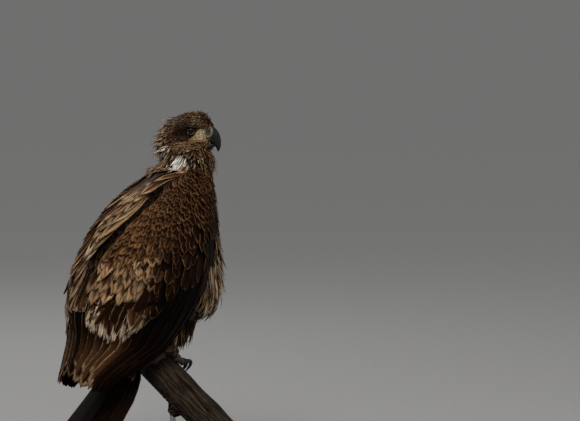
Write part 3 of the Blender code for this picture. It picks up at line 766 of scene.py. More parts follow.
def build_wing_coverts(hull, side, look):
    """Greater, median and lesser coverts, from the lowest row up."""
    left = side == "left"

    def add_row(table, shift, size, spacing, length, half, stagger, row_look, span=COVERT_SPAN):
        add_covert_row(coat, hull, side, table, shift, span, spacing * size, length * size, half * size,
                       stagger % 2.0, row_look)

    coat = Coat(rows=12, columns=9, thickness=0.0006, ragged=0.10, tip=0.17, seed=20 + left)
    for number, shift in enumerate((0.0, 0.006)):
        add_row(GREATER_TIPS, shift, 1.0, 0.0270, 0.118, 0.0140, number, GREATER)
    add_row(GREATER_TIPS, 0.003, 1.0, 0.0085, 0.058, 0.0058, 0.5, FRINGE, FRINGE_SPAN)
    medians = ((0.0, 1.0), (0.014, 0.96), (0.031, 0.90), (0.048, 0.83), (0.062, 0.75))
    for number, (shift, size) in enumerate(medians):
        add_row(MEDIAN_TIPS, shift, size, 0.0270, 0.086, 0.0135, 0.76 * number, MEDIAN)
    coat.build(f"large_coverts_{side}", look, "wing_feathers")
    coat = Coat(rows=8, columns=7, thickness=0.0005, ragged=0.12, tip=0.30, seed=24 + left)
    shift, size, number = 0.076, 1.0, 0
    while shift < LESSER_TOP:
        add_row(MEDIAN_TIPS, shift, size, 0.0170, 0.054, 0.0116, 0.76 * number, LESSER)
        shift += 0.0172 * size
        size = max(0.56, size - 0.055)
        number += 1
    coat.build(f"small_coverts_{side}", look, "wing_feathers")


def build_flight_feathers(hull, side, look):
    """Secondaries and primaries, then the broad tertials over them, from the lower front edge to the back."""
    sign = SIDES[side]
    coat = Coat(rows=30, columns=9, thickness=0.0008, ragged=0.10, tip=0.075, seed=30 + (side == "left"))
    chance = coat.chance
    share = np.concatenate([np.linspace(0.0, 0.52, 12), np.linspace(0.60, 1.0, 7)])
    count = len(share)
    odd = np.arange(count) % 2
    tertial = step(share, 0.50, 0.60)
    top = np.interp(share, (0, 0.3, 0.6, 0.8, 1), (0.50, 0.48, 0.44, 0.40, 0.42))
    low = read(FLIGHT_TIPS, 36.0 + share * 137.0) + chance.uniform(0.0, 0.006, count) + 0.020 * tertial * odd
    heights = top[:, None] + (low - top)[:, None] * steps(coat.rows)[None, :]
    edge_angle = read(LOWER_FRONT, heights)
    if side == "left":
        edge_angle += read(LEFT_FRONT, heights)
    angles = np.radians(edge_angle + share[:, None] * (WING_REAR - edge_angle))
    centre, outward = on_hull(hull, sign * angles, heights, sink=0.003, lift=0.0)
    layer = 0.0030 * (1.0 - share) + 0.0008 * odd
    centre = centre - outward * layer[:, None, None]
    narrow = hull.reach(sign * angles, heights) * np.radians(WING_REAR - edge_angle) / 17.0
    full = np.clip(1.5 * narrow, 0.0120, 0.0185) * (1.0 + 0.10 * tertial[:, None])
    rear, inner = tertial[:, None], step(share, 0.90, 0.97)[:, None]
    # The rearmost tertials are painted darker, as painted shade on the wings' hidden rear.
    tint = DARK * 0.48 * (1 - rear) + BROWN * 0.72 * rear * (1 - 0.75 * inner)
    edging = CHOCOLATE * 0.7 * (1 - rear) + (BUFF * 0.8) * rear * (1 - 0.5 * inner)
    widths = coat.widths(full, root=0.7, full=0.3, tip=0.94)
    coat.add(centre, outward, widths, tint * chance.uniform(0.75, 1.3, (count, 1)), edging,
             strength=0.55 + 0.15 * tertial, rim=0.10 + 0.03 * tertial, band=0.975 - 0.045 * tertial,
             streak=0.6 + 0.4 * tertial, camber=0.10, tilt=-sign * 0.13, pointed=0.25 + 0.35 * tertial,
             fray=0.08 + 0.22 * tertial)
    coat.build(f"flight_feathers_{side}", look, "wing_feathers",
               replaced=(f"wing_{side}_secondaries", f"wing_{side}_primaries"))


# ---------- back and breast

BACK_SPAN = (0.388, 0.706)  # heights of the tips' rows, lowest first
BREAST_SPAN = (0.330, 0.712)
BACK_BUFF = colour(138, 108, 80)
BREAST_EDGE = ((0.34, 48), (0.45, 46), (0.60, 46), (0.66, 56), (0.69, 88), (0.72, 96))  # height, angle


def build_scapulars(hull, look):
    """Feathers of the back: small at the neck's base, long and loose where they end over the rump."""
    coat = Coat(rows=14, columns=7, thickness=0.0006, ragged=0.12, tip=0.20, seed=41)
    chance = coat.chance
    height, highest = BACK_SPAN
    number = 0
    while height < highest:
        grow = step(height, 0.69, 0.50)
        length, half = 0.042 + 0.078 * grow, 0.0088 + 0.0082 * grow
        inner = 181.0 - 5.0 * step(height, 0.52, 0.46)
        reach = hull.reach_at(180.0, height)
        clear = math.degrees((0.8 + 0.8 * step(height, 0.63, 0.66)) * half / reach)
        for side, sign in SIDES.items():
            outer = float(read(BACK_EDGE, height)) + clear
            if side == "right" and outer > inner:
                continue
            outer = min(outer, inner - 4.0)
            count = max(2, int(math.radians(inner - outer) * reach / (0.0105 + 0.0080 * grow)))
            share = (np.arange(count) + 0.5 * (number % 2) + chance.uniform(0.0, 0.4, count)) / count
            angle = outer + (inner - outer) * share
            size = length * chance.uniform(0.85, 1.2, count)
            tips = height + chance.normal(0, 0.004 + 0.006 * grow, count)
            heights = (tips + size)[:, None] - size[:, None] * steps(coat.rows)[None, :]
            border = np.minimum(read(BACK_EDGE, heights) + clear, inner - 3.0)
            angles = np.radians(border + (inner - border) * share[:, None])
            top = step(tips, 0.63, 0.69)
            lift = (0.001 + chance.uniform(0.0, 0.004, count) + 0.003 * grow) * (1 - 0.8 * top)
            lift = lift + 0.006 * step(share, 0.16, 0.02) * (1 - 0.6 * top)
            centre, outward = on_hull(hull, sign * angles, heights, sink=0.006 + 0.002 * grow, lift=lift)
            # Feathers near the back's parting are sunk and painted dark as painted shade; the higher ones are
            # painted lighter as a painted highlight (sunlit).
            turned = angle if sign < 0 else 360.0 - angle
            parting = np.abs(np.radians(turned - read(PARTING, tips))) * reach
            parting = step(parting, 0.030, 0.022) * step(tips, 0.625, 0.640)
            centre = centre - outward * (0.006 * parting)[:, None, None]
            widths = coat.widths(half * chance.uniform(0.85, 1.2, count), root=0.45, full=0.5, tip=0.82)
            mottle = chance.random((count, 1))
            tint = np.where(mottle < 0.40, CHOCOLATE, np.where(mottle < 0.75, BROWN * 1.1, BACK_BUFF))
            tint = tint * (1 - 0.35 * step(tips, 0.50, 0.44))[:, None]
            pale = spot(tips, angle, (0.575, 171.0), (0.042, 12.0)) * chance.random(count)
            tint = blend(tint, BUFF, pale[:, None])
            dark = 1 - 0.95 * parting
            sunlit = 1 + 0.45 * step(tips, 0.57, 0.62)
            tint = tint * chance.uniform(0.75, 1.2, (count, 1)) * (dark * sunlit)[:, None]
            edging = coat.either(count, 0.30 + 0.5 * pale[:, None], CREAM, BUFF)
            strength = (chance.uniform(0.20, 0.95, count) + 0.2 * pale) * dark
            coat.add(centre, outward, widths, tint, edging, strength, rim=0.42, band=0.78, streak=1.0,
                     camber=0.2, tilt=-sign * 0.05 + chance.normal(0, 0.08, count), pointed=0.6, fray=0.3)
        height += 0.0125 + 0.0100 * grow
        number += 1
    coat.build("back_feathers", look, "feathers")


def build_breast(hull, look):
    """Loose pointed feathers of the breast and belly, pale and streaked, shaggier lower down."""
    coat = Coat(rows=8, columns=5, thickness=0.0005, ragged=0.16, tip=0.34, seed=51)
    chance = coat.chance
    height, highest = BREAST_SPAN
    number = 0
    while height < highest:
        low = step(height, 0.56, 0.40)
        edge = read(BREAST_EDGE, height)
        count = int(math.radians(2 * edge) * hull.reach_at(0.0, height) / 0.0090)
        share = (np.arange(count) + 0.5 * (number % 2) + chance.uniform(-0.4, 0.4, count)) / count
        angle = np.radians(-edge + 2 * edge * share)
        length = (0.042 + 0.036 * low) * chance.uniform(0.70, 1.45, count)
        tips = height + chance.normal(0, 0.007, count)
        slant = chance.normal(0, 0.16, count) + 0.12 * np.sin(angle)
        lift = (0.006 + 0.016 * low) * chance.random(count) ** 1.8 + 0.002 * low
        # Belly feathers beside the wing's front edge are sunk and painted dark, as painted shadow of the
        # wing.
        shadow_gap = step(np.abs(np.degrees(angle)), 29.0, 37.0) * step(height, 0.55, 0.50)
        centre, outward = laid(hull, angle, tips + length, length, slant, coat.rows, sink=0.006,
                               lift=lift * (1 - shadow_gap))
        centre = centre - outward * (0.005 * shadow_gap)[:, None, None]
        half = (0.0056 + 0.0012 * low) * chance.uniform(0.7, 1.4, count)
        widths = coat.widths(half, root=0.5, full=0.45, tip=0.30)
        mottle = chance.random((count, 1))
        tint = np.where(mottle < 0.20 + 0.42 * low, BUFF, np.where(mottle < 0.66, BROWN, DARK))
        tint = tint * chance.uniform(0.55, 1.25 + 0.25 * low, (count, 1)) * (1 - 0.85 * shadow_gap[:, None])
        edging = coat.either(count, 0.25 + 0.45 * low, CREAM * 1.1, TAWNY * 1.1)
        strength = chance.uniform(0.05 + 0.15 * low, 1.0, count) * (1 - 0.85 * shadow_gap)
        coat.add(centre, outward, widths, tint, edging, strength, rim=0.40, band=0.74, streak=1.0,
                 camber=0.25, tilt=chance.normal(0, 0.25, count))
        height += 0.0094
        number += 1
    coat.build("breast_feathers", look, "feathers", round_unwrap(low=0.32, high=0.76))


# ---------- coats laid over any surface

def surface_places(names, wanted, chance, spacing):
    """Points scattered evenly over nodes' surfaces, where wanted(points, normals) holds."""
    mesh = joined_copy(names)
    mesh.calc_loop_triangles()
    corners = coordinates(mesh)
    triangles = np.array([t.vertices for t in mesh.loop_triangles])
    a, b, c = (corners[triangles[:, i]] for i in range(3))
    cross = np.cross(b - a, c - a)
    area = 0.5 * np.linalg.norm(cross, axis=1)
    total = int(area.sum() / (spacing * spacing) * 5)
    pick = chance.choice(len(area), total, p=area / area.sum())
    u, v = chance.random((2, total, 1))
    flip = (u + v) > 1
    u, v = np.where(flip, 1 - u, u), np.where(flip, 1 - v, v)
    points = a[pick] + u * (b - a)[pick] + v * (c - a)[pick]
    outward = unit(cross[pick])
    tree = BVHTree.FromPolygons([Vector(p) for p in corners], [tuple(t) for t in triangles])
    covered = [tree.ray_cast(Vector(p + 0.0006 * n), Vector(n), 0.012)[0] is not None
               for p, n in zip(points, outward)]
    points = points[wanted(points, outward) & ~np.array(covered)]
    cell = spacing * 0.9
    around = [(x, y, z) for x in (-1, 0, 1) for y in (-1, 0, 1) for z in (-1, 0, 1)]
    taken, keep = {}, []
    for i, point in enumerate(points):
        key = tuple(np.floor(point / cell).astype(int))
        near = (taken.get((key[0] + x, key[1] + y, key[2] + z)) for x, y, z in around)
        if all(other is None or np.sum((points[other] - point) ** 2) > cell * cell for other in near):
            taken[key] = i
            keep.append(i)
    return points[keep]


def follow(tree, points, flow, length, rows, sink, lift, cling):
    """Centre lines that creep over a tree's surface from points, the way flow(points, normals) says.

    cling below 1 lets a line stand off: it is the share that hugs the surface, the rest runs straight."""
    count = len(points)
    lines, outward = np.empty((2, count, rows, 3))
    here = points
    for row in range(rows):
        for i in range(count):
            lines[i, row], outward[i, row], _, _ = tree.find_nearest(Vector(here[i]))
        way = flow(lines[:, row], outward[:, row])
        way = unit(way - outward[:, row] * np.sum(way * outward[:, row], 1, keepdims=True))
        if row == 0:
            first = way
        here = lines[:, row] + way * (length / (rows - 1))[:, None]
    smooth = outward.copy()
    smooth[:, 1:-1] = unit(outward[:, :-2] + outward[:, 1:-1] + outward[:, 2:])
    s = steps(rows)[None, :, None]
    length, sink, lift, hug = (each(value, count)[:, None, None] for value in (length, sink, lift, cling))
    straight = lines[:, :1] + first[:, None] * length * s
    offset = -sink * (1 - s) ** 1.3 + lift * s**2
    return lines * hug + straight * (1 - hug) + smooth * offset, smooth


def head_flow(points, outward):
    """Feathers of the head run back from the bill, then down the neck; the chin's hang."""
    local = head_local(points)
    back = step(-local[:, 0], -0.01, 0.07)
    low = step(-local[:, 2], 0.018, 0.050)
    down = np.clip(0.10 + 0.85 * back + 0.95 * low, 0, 1.6)
    way = np.stack([0.72 * low - 1.0, np.sign(local[:, 1]) * 0.10 * (1 - back), -down], -1)
    return unit(way @ HEAD_AXES)


def hang_flow(points, outward):
    """Feathers of the thighs hang down and a little back."""
    return np.broadcast_to((-0.16, 0.0, -1.0), points.shape)


LORE_TOP = ((0.0085, -0.0175), (0.0200, -0.0080), (0.0245, -0.0005), (0.0315, 0.0060), (0.0430, 0.0080))


def face_bare(local):
    """Share of bare skin on the face: the lores, a wedge from the bill to the eye, and the eye's opening."""
    x, y, z = local[:, 0], np.abs(local[:, 1]), local[:, 2]
    top = read(LORE_TOP, x)
    lore = step(x, 0.0085, 0.0115) * step(z, top + 0.0016, top - 0.0010) * step(z, -0.0215, -0.0190)
    return np.maximum(lore, (eye_reach(local) < EYE_OPENING) * (y > 0.02))


def head_tone(coat, local):
    """Web and edge colours of the face: dark mask behind the eye, pale chin and brow, streaked crown."""
    count, chance = len(local), coat.chance
    x, z = local[:, 0:1], local[:, 2:3]
    mask = spot(x, z, (0.002, 0.001), (0.026, 0.014))
    cheek = step(z, -0.018, -0.024) * step(x, -0.026, 0.004)
    chin = step(z, -0.020, -0.028) * step(x, 0.004, 0.022)
    picked = chance.random((count, 1))
    brow = spot(x, z, (0.026, 0.021), (0.017, 0.009), 2) * (picked < 0.6)
    tint = np.where(picked < 0.45, CHOCOLATE, BROWN * 1.1) * chance.uniform(0.45, 1.5, (count, 1))
    pale = np.maximum(np.maximum(0.90 * cheek, chin), 0.9 * brow)
    tone = np.where(picked < 0.4, TAWNY * 1.35, BUFF * 1.3) * chance.uniform(0.7, 1.3, (count, 1))
    tint = blend(tint * (1 - 0.78 * mask), tone, pale)
    edging = coat.either(count, 0.40, CREAM, BUFF)
    strength = chance.uniform(0.15, 1.0, (count, 1)) * (1 - 0.92 * mask)
    strength = np.clip(strength + 0.7 * brow + 0.3 * np.maximum(chin, cheek), 0, 1)
    return tint, edging, strength[:, 0], 0.8 * (1 - 0.75 * pale[:, 0])


def build_head_feathers(tree, look):
    """Face and crown: small pointed feathers, shortest round the eye and bill, a little ruffled above."""
    coat = Coat(rows=6, columns=3, thickness=0.0003, ragged=0.12, tip=0.2, seed=61)
    chance = coat.chance

    def wanted(points, outward):
        local = head_local(points)
        x, z = local[:, 0], local[:, 2]
        sparse = (face_bare(local) < 0.5) | (chance.random(len(points)) < 0.22)
        on_head = (z > -0.036) & (points[:, 2] > 0.74) & (x < 0.053) & (x > -0.056)
        return sparse & on_head & (eye_reach(local) >= EYE_OPENING)

    points = surface_places(["head", "neck"], wanted, chance, spacing=0.0032)
    local = head_local(points)
    x, z = local[:, 0], local[:, 2]
    near = np.minimum(np.hypot(x - 0.036, z + 0.006), eye_reach(local))
    length = (0.0050 + 0.0150 * step(near, 0.012, 0.046)) * chance.uniform(0.75, 1.3, len(points))
    crown = step(z, 0.014, 0.034)
    brow_front = step(x, 0.018, 0.040) * crown
    rear = step(-x, -0.004, 0.020)
    lift = chance.uniform(0.0, 1.0, len(points)) ** 1.5 * (0.10 + 0.10 * crown + 0.20 * brow_front) * length
    lift *= 1 - 0.6 * rear * crown
    cling = 1.0 - (0.22 * (1 - rear) + 0.35 * brow_front) * crown * chance.random(len(points))
    sink = 0.12 * length + 0.0004 + 0.0022 * crown * step(-x, 0.004, 0.026)
    centre, outward = follow(tree, points, head_flow, length, coat.rows, sink, lift, cling)
    bare = face_bare(local)
    widths = coat.widths((0.10 * length + 0.0006) * (1 - 0.55 * bare), root=0.6, full=0.4, tip=0.25)
    tint, edging, strength, streak = head_tone(coat, local)
    coat.add(centre, outward, widths, blend(tint, BUFF, bare[:, None]), edging, strength, rim=0.36, band=0.74,
             streak=streak * (1 - bare), camber=0.2)
    coat.build("face_feathers", look, "feathers", round_unwrap(low=0.70, high=0.84))


def neck_tone(shown, chance):
    """Hackles' colours by where they show: dark brown, pale streaks, a white patch on each side."""
    count = len(shown)
    x, y, z = shown[:, 0:1], np.abs(shown[:, 1:2]), shown[:, 2:3]
    patch = spot(x, z, (0.002, -0.077), (0.018, 0.014), 2) * (y > 0.016)
    patch = patch > chance.uniform(0.10, 0.40, (count, 1))
    streak = spot(x, z, (-0.052, -0.044), (0.022, 0.020)) > 0.2 + 1.1 * chance.random((count, 1))
    pale = np.maximum(patch, streak * 0.5)
    front = step(x, -0.005, 0.02)
    chin = front * step(z, -0.066, -0.046)
    picked = chance.random((count, 1))
    nape = np.where(picked < 0.6, CHOCOLATE * 0.8, BROWN)
    tint = blend(nape, DARK, front) * chance.uniform(0.45, 1.3, (count, 1))
    soft = np.where(picked < 0.6, TAWNY * 1.1, BUFF * 1.1) * chance.uniform(0.65, 1.2, (count, 1))
    return blend(blend(tint, soft, chin), WHITE, pale), pale[:, 0], chin[:, 0]


def build_neck_hackles(tree, look):
    """Long pointed hackles of the nape, neck and throat, ruffled so that their tips stand off."""
    coat = Coat(rows=9, columns=5, thickness=0.0004, ragged=0.10, tip=0.2, seed=71)
    chance = coat.chance

    def wanted(points, outward):
        local = head_local(points)
        nape = (local[:, 0] < -0.026) | (local[:, 2] < -0.030)
        return nape & (points[:, 2] > 0.694) & (face_bare(local) < 0.5) & (local[:, 0] < 0.055)

    points = surface_places(["head", "neck", "bill_lower"], wanted, chance, spacing=0.0049)
    local = head_local(points)
    x, z = local[:, 0], local[:, 2]
    count = len(points)
    nape, throat = step(-x, 0.0, 0.045), step(x, -0.005, 0.03)
    length = chance.uniform(0.026, 0.042, count) * (0.80 + 0.30 * step(-z, 0.0, 0.05))
    length *= 1.0 - 0.30 * throat * step(z, -0.060, -0.040)
    loose = chance.uniform(0.0, 1.0, count)
    low = step(points[:, 2], 0.722, 0.702)
    lift = 0.0010 + loose ** 1.5 * (0.005 + 0.009 * nape * (1 - 0.85 * low) + 0.004 * throat)
    cling = np.clip(1.05 - loose * (0.55 + 0.40 * np.maximum(nape, throat)) * (1 - 0.6 * low), 0.0, 1.0)
    centre, outward = follow(tree, points, head_flow, length, coat.rows, sink=0.0035, lift=lift, cling=cling)
    half = (0.0028 - 0.0005 * throat) * chance.uniform(0.6, 1.5, count)
    widths = coat.widths(half, root=0.6, full=0.35, tip=0.14)
    tint, pale, chin = neck_tone(head_local(centre[:, 6]), chance)
    edging = coat.either(count, 0.25 + 0.25 * nape[:, None], CREAM, BUFF * 0.9)
    edging = edging * (1 - pale[:, None]) + WHITE * 1.08 * pale[:, None]
    strength = np.clip(chance.uniform(0.2, 1.0, count) + 0.15 * nape + pale - 0.3 * chin, 0, 1)
    coat.add(centre, outward, widths, tint, edging, strength, rim=0.26 + 0.6 * pale, band=0.58 - 0.55 * pale,
             streak=0.9 * (1 - pale), camber=0.25, tilt=chance.normal(0, 0.25, count))
    coat.build("neck_hackles", look, "feathers", round_unwrap(low=0.66, high=0.84))


def build_trousers(look):
    """Loose hanging feathers of the thighs and the belly's underside."""
    coat = Coat(rows=7, columns=5, thickness=0.0005, ragged=0.16, tip=0.25, seed=81)
    chance = coat.chance
    names = ["thigh_left", "thigh_right", "trunk"]

    def wanted(points, outward):
        x, y, z = points.T
        belly = (z < 0.40) & (x > -0.02) & (np.abs(y) < 0.10)
        return ((z < 0.352) | belly) & (outward[:, 2] < 0.7) & (x > -0.09)

    points = surface_places(names, wanted, chance, spacing=0.0095)
    count = len(points)
    length = chance.uniform(0.036, 0.070, count)
    lowest = np.where(points[:, 1] > 0, 0.316, 0.274)
    length = np.minimum(length, np.maximum(points[:, 2] - lowest, 0.014))
    lift = chance.uniform(0.0, 0.010, count)
    cling = chance.uniform(0.0, 1.0, count)
    centre, outward = follow(tree_of(names), points, hang_flow, length, coat.rows, sink=0.005, lift=lift,
                             cling=cling)
    widths = coat.widths(0.0054 * chance.uniform(0.6, 1.3, count), root=0.5, full=0.4, tip=0.3)
    mottle = chance.random((count, 1))
    tint = np.where(mottle < 0.22, BUFF * 0.8, np.where(mottle < 0.55, BROWN * 0.8, DARK))
    tint = tint * chance.uniform(0.55, 1.2, (count, 1))
    edging = coat.either(count, 0.3, CREAM, TAWNY)
    coat.add(centre, outward, widths, tint, edging, chance.uniform(0.1, 0.9, count), rim=0.40, band=0.74,
             streak=1.0, camber=0.25, tilt=chance.normal(0, 0.2, count))
    coat.build("trouser_feathers", look, "feathers", round_unwrap(low=0.27, high=0.42))


# ---------- tail

# The tail's middle line at even steps: how far forward, sideways and high it lies, and the half width.
TAIL_LINE = np.array((
    (-0.062, 0.000, 0.372, 0.030), (-0.081, 0.000, 0.318, 0.042), (-0.090, 0.002, 0.272, 0.056),
    (-0.096, 0.006, 0.232, 0.072), (-0.122, 0.010, 0.190, 0.085), (-0.156, 0.012, 0.150, 0.094),
    (-0.184, 0.014, 0.118, 0.099), (-0.197, 0.014, 0.102, 0.098)))
TAIL_PAIRS = 6


def tail_frame(share):
    """The tail's line and half width at places along it, and the way its upper face looks."""
    forward, side, height, half = (np.interp(share, steps(len(TAIL_LINE)), line) for line in TAIL_LINE.T)
    along = unit(np.stack([np.gradient(forward, axis=-1), 0 * forward, np.gradient(height, axis=-1)], -1))
    back = np.stack([along[..., 2], 0 * forward, -along[..., 0]], -1)
    return forward, side, height, half, np.where(back[..., :1] > 0, -back, back)


def build_tail(look):
    """Twelve tail feathers, the middle pair on top."""
    coat = Coat(rows=22, columns=9, thickness=0.0009, ragged=0.04, tip=0.12, seed=91)
    s = steps(coat.rows)
    forward, side, height, half, back = tail_frame(s)
    for sign in (-1.0, 1.0):
        for number in range(TAIL_PAIRS):
            part = sign * (number + 0.35) / TAIL_PAIRS * (0.97 + 0.05 * sign)
            end = 1.0 - 0.018 * number
            middle = np.stack([forward, side + part * half, height], -1)
            sag = 0.16 * half * part * part
            middle = middle - back * (sag + 0.0016 * number)[:, None] + back * 0.003
            middle = np.stack([np.interp(s * end, s, middle[:, i]) for i in range(3)], -1)
            outward = unit(back - np.array([0.0, -0.42 * part, 0.0]))
            wide = np.clip(half / TAIL_PAIRS * 1.55, 0.010, 0.0215)[None]
            widths = coat.widths(wide, root=0.6, full=0.3, tip=0.94)
            tint = DARK * 0.45 * coat.chance.uniform(0.85, 1.15)
            coat.add(middle[None], outward[None], widths, tint, CHOCOLATE * 0.7, strength=0.4, rim=0.12,
                     band=0.975, streak=0.4, camber=0.06, tilt=sign * 0.05, pointed=0.35)
    coat.build("tail_feathers", look, "tail_feathers", replaced=("tail",))


def build_tail_coverts(look):
    """Coverts that hide the roots of the tail, over it and under it."""
    coat = Coat(rows=8, columns=5, thickness=0.0005, ragged=0.12, tip=0.3, seed=95)
    chance = coat.chance
    s = steps(coat.rows)[None, :]
    for face in (1.0, -1.0):
        for row in range(7):
            count = 8 + row
            part = ((np.arange(count) + 0.5 * (row % 2) + 0.25) / count * 1.9 - 0.95)[:, None]
            share = 0.01 + 0.035 * row + 0.22 * s + 0.02 * chance.uniform(-1, 1, (count, 1))
            forward, centre, height, half, back = tail_frame(share)
            back = back * face
            side = part * half
            offset = 0.013 * (1.0 - share) + 0.003 - 0.003 * (1 - s) - 0.22 * half * part ** 2 * face
            middle = np.stack([forward, centre + side, height], -1) + back * offset[..., None]
            bowed = 0.45 * np.sign(side) * np.abs(part)
            outward = unit(back + np.stack([0 * side, bowed, 0 * side], -1))
            widths = coat.widths(0.010 * chance.uniform(0.85, 1.2, count), root=0.5, full=0.5, tip=0.8)
            tint = (CHOCOLATE if face > 0 else BROWN * 0.8) * chance.uniform(0.6, 1.1, (count, 1))
            coat.add(middle, outward, widths, tint, BUFF, chance.uniform(0.2, 0.6, count), rim=0.3, band=0.85,
                     streak=0.6, camber=0.2, pointed=0.4)
    coat.build("tail_coverts", look, "tail_feathers", round_unwrap(low=0.20, high=0.38))


# ---------- skin, bill and eyes

def refine_face(mesh):
    """Split the faces round the eyes and bill into ninths, so that bare skin there is smooth."""
    work = bmesh.new()
    work.from_mesh(mesh)
    points = np.array([v.co for v in work.verts])
    local = head_local(points)
    front = (local[:, 0] > -0.012) & (local[:, 2] > -0.045) & (points[:, 2] > HEAD_LEVEL)
    edges = [e for e in work.edges if front[e.verts[0].index] and front[e.verts[1].index]]
    bmesh.ops.subdivide_edges(work, edges=edges, cuts=2, use_grid_fill=True, smooth=0.6)
    work.to_mesh(mesh)
    work.free()


def build_skin(look):
    """One skin for head, neck, trunk, thighs and the wings' arms, inside the solids by the coat's depth."""
    names = ["head", "neck", "trunk", "thigh_left", "thigh_right", "wing_left_coverts", "wing_right_coverts"]
    mesh = even_skin(names, voxel=0.0040, smoothing=6)
    refine_face(mesh)
    tree = tree_of(names)
    points = coordinates(mesh)
    local, head = head_local(points), points[:, 2] > HEAD_LEVEL
    face = step(local[:, 0], -0.02, 0.02) * step(local[:, 2], -0.06, -0.03) * head
    arm = step(points[:, 2], 0.52, 0.48) * step(np.abs(points[:, 1]), 0.085, 0.10)
    depth = blend(COAT_DEPTH, FACE_DEPTH, face) + 0.004 * arm
    sunk, room = np.empty((2, len(points)))
    for i, point in enumerate(points):
        spot_on, normal, _, _ = tree.find_nearest(Vector(point))
        sunk[i] = (spot_on - Vector(point)).dot(normal)
        far = tree.ray_cast(spot_on - normal * 0.0005, -normal, 0.06)[3]
        thin = far is not None and abs(point[1]) > 0.08 and point[2] < 0.56
        room[i] = 0.42 * far if thin else 0.03
    socket = eye_reach(local)
    depth = depth + face * 0.0030 * np.exp(-(socket / 0.010) ** 4)
    cere = step(local[:, 0], 0.0375, 0.0430) * step(local[:, 2], 0.014, 0.008) * head
    depth = np.minimum(depth + 0.0065 * cere, room)
    move = np.maximum(depth, depth - sunk)
    set_coordinates(mesh, points - coordinates(mesh, "normal") * move[:, None])
    points = coordinates(mesh)
    local, head = head_local(points), points[:, 2] > HEAD_LEVEL
    bare = face_bare(local) * head
    # Round each eye the skin is painted blackish, as painted shade in the sunken socket.
    dark = np.exp(-(socket / 0.0125) ** 4) * head
    lore = blend(colour(226, 214, 180), colour(204, 182, 130), step(local[:, 0], 0.046, 0.014)[:, None])
    # The coat's skin is dark brown, partly for dark down and partly as painted shade between the feathers.
    set_colour(mesh, "tint", blend(blend(CHOCOLATE * 0.40, lore, bare[:, None]), BLACKISH, dark[:, None]))
    set_attribute(mesh, "bare", np.maximum(bare, dark))
    mesh.shade_smooth()
    new_piece("skin", mesh, look, "feathers", *names)


def loft_mesh(rings, endless=False):
    """A smooth closed mesh through rings (n, m, 3), that ends in fans or, if endless, in its first ring."""
    rows, count = rings.shape[:2]
    vertices = rings.reshape(-1, 3)

    def at(row, i):
        return row % rows * count + i % count

    faces = [(at(row, i), at(row, i + 1), at(row + 1, i + 1), at(row + 1, i))
             for row in range(rows if endless else rows - 1) for i in range(count)]
    if not endless:
        vertices = np.concatenate([vertices, [rings[0].mean(0), rings[-1].mean(0)]])
        for i in range(count):
            faces += [(at(0, i + 1), i, rows * count), (at(-1, i), at(-1, i + 1), rows * count + 1)]
    mesh = bpy.data.meshes.new("loft")
    mesh.from_pydata(vertices.tolist(), [], faces)
    work = bmesh.new()
    work.from_mesh(mesh)
    bmesh.ops.recalc_face_normals(work, faces=work.faces[:])
    work.to_mesh(mesh)
    work.free()
    mesh.shade_smooth()
    return mesh


def tube_mesh(path, radii, sides, squash=1.0, up=HEAD_UP):
    """A tapered tube along a path, flattened across up by squash."""
    path = np.array(path, float)
    tangent = unit(np.gradient(path, axis=0))
    across = unit(np.cross(tangent, np.array(up)))
    upright = np.cross(across, tangent)
    turn = full_turn(sides)
    c, s = np.cos(turn)[None, :, None], np.sin(turn)[None, :, None]
    rings = path[:, None] + radii[:, None, None] * (across[:, None] * c + squash * upright[:, None] * s)
    return loft_mesh(rings)


def smooth_stations(table, count):
    """Stations read smoothly (Catmull-Rom) at count even steps."""
    table = np.array(table, float)
    padded = np.vstack([2 * table[0] - table[1], table, 2 * table[-1] - table[-2]])
    out = []
    for place in np.linspace(0.0, len(table) - 1.0001, count):
        i = int(place)
        t = place - i
        p0, p1, p2, p3 = padded[i:i + 4]
        out.append(0.5 * (2 * p1 + (p2 - p0) * t + (2 * p0 - 5 * p1 + 4 * p2 - p3) * t**2
                          + (3 * p1 - p0 - 3 * p2 + p3) * t**3))
    return out


UPPER_BILL = (
    # x, z, tilt in degrees, half height, half width
    (0.0360, -0.0050, 0.0, 0.0206, 0.0190),
    (0.0475, -0.0062, 3.0, 0.0205, 0.0162),
    (0.0550, -0.0090, 14.0, 0.0184, 0.0132),
    (0.0610, -0.0150, 34.0, 0.0146, 0.0102),
    (0.0648, -0.0222, 54.0, 0.0108, 0.0080),
    (0.0672, -0.0308, 74.0, 0.0072, 0.0056),
    (0.0680, -0.0390, 90.0, 0.0043, 0.0034),
    (0.0671, -0.0452, 104.0, 0.0010, 0.0009),
)
LOWER_BILL = (
    # x, z, half height, half width
    (0.0200, -0.0320, 0.0085, 0.0135),
    (0.0420, -0.0325, 0.0074, 0.0118),
    (0.0520, -0.0318, 0.0052, 0.0076),
    (0.0590, -0.0308, 0.0034, 0.0046),
    (0.0620, -0.0300, 0.0012, 0.0020),
)
NOSTRIL = (0.0485, 0.0005)  # x, z in the head's own frame
HORN_GRAIN = np.array([60.0, 260.0, 260.0])  # finer across the bill than along it


def cere_reach(x, z):
    """Distance from the middle of the grey cere round the nostril, 1 at its rim."""
    return np.hypot((x - 0.0490) / 0.0080, (z - 0.0004) / 0.0104)


def paint_horn(mesh, grain, tint, pale):
    """Grain of the horn, and the colours and share of the cere and skin on it."""
    set_attribute(mesh, "grain", grain)
    set_colour(mesh, "tint", tint)
    set_attribute(mesh, "pale", pale)


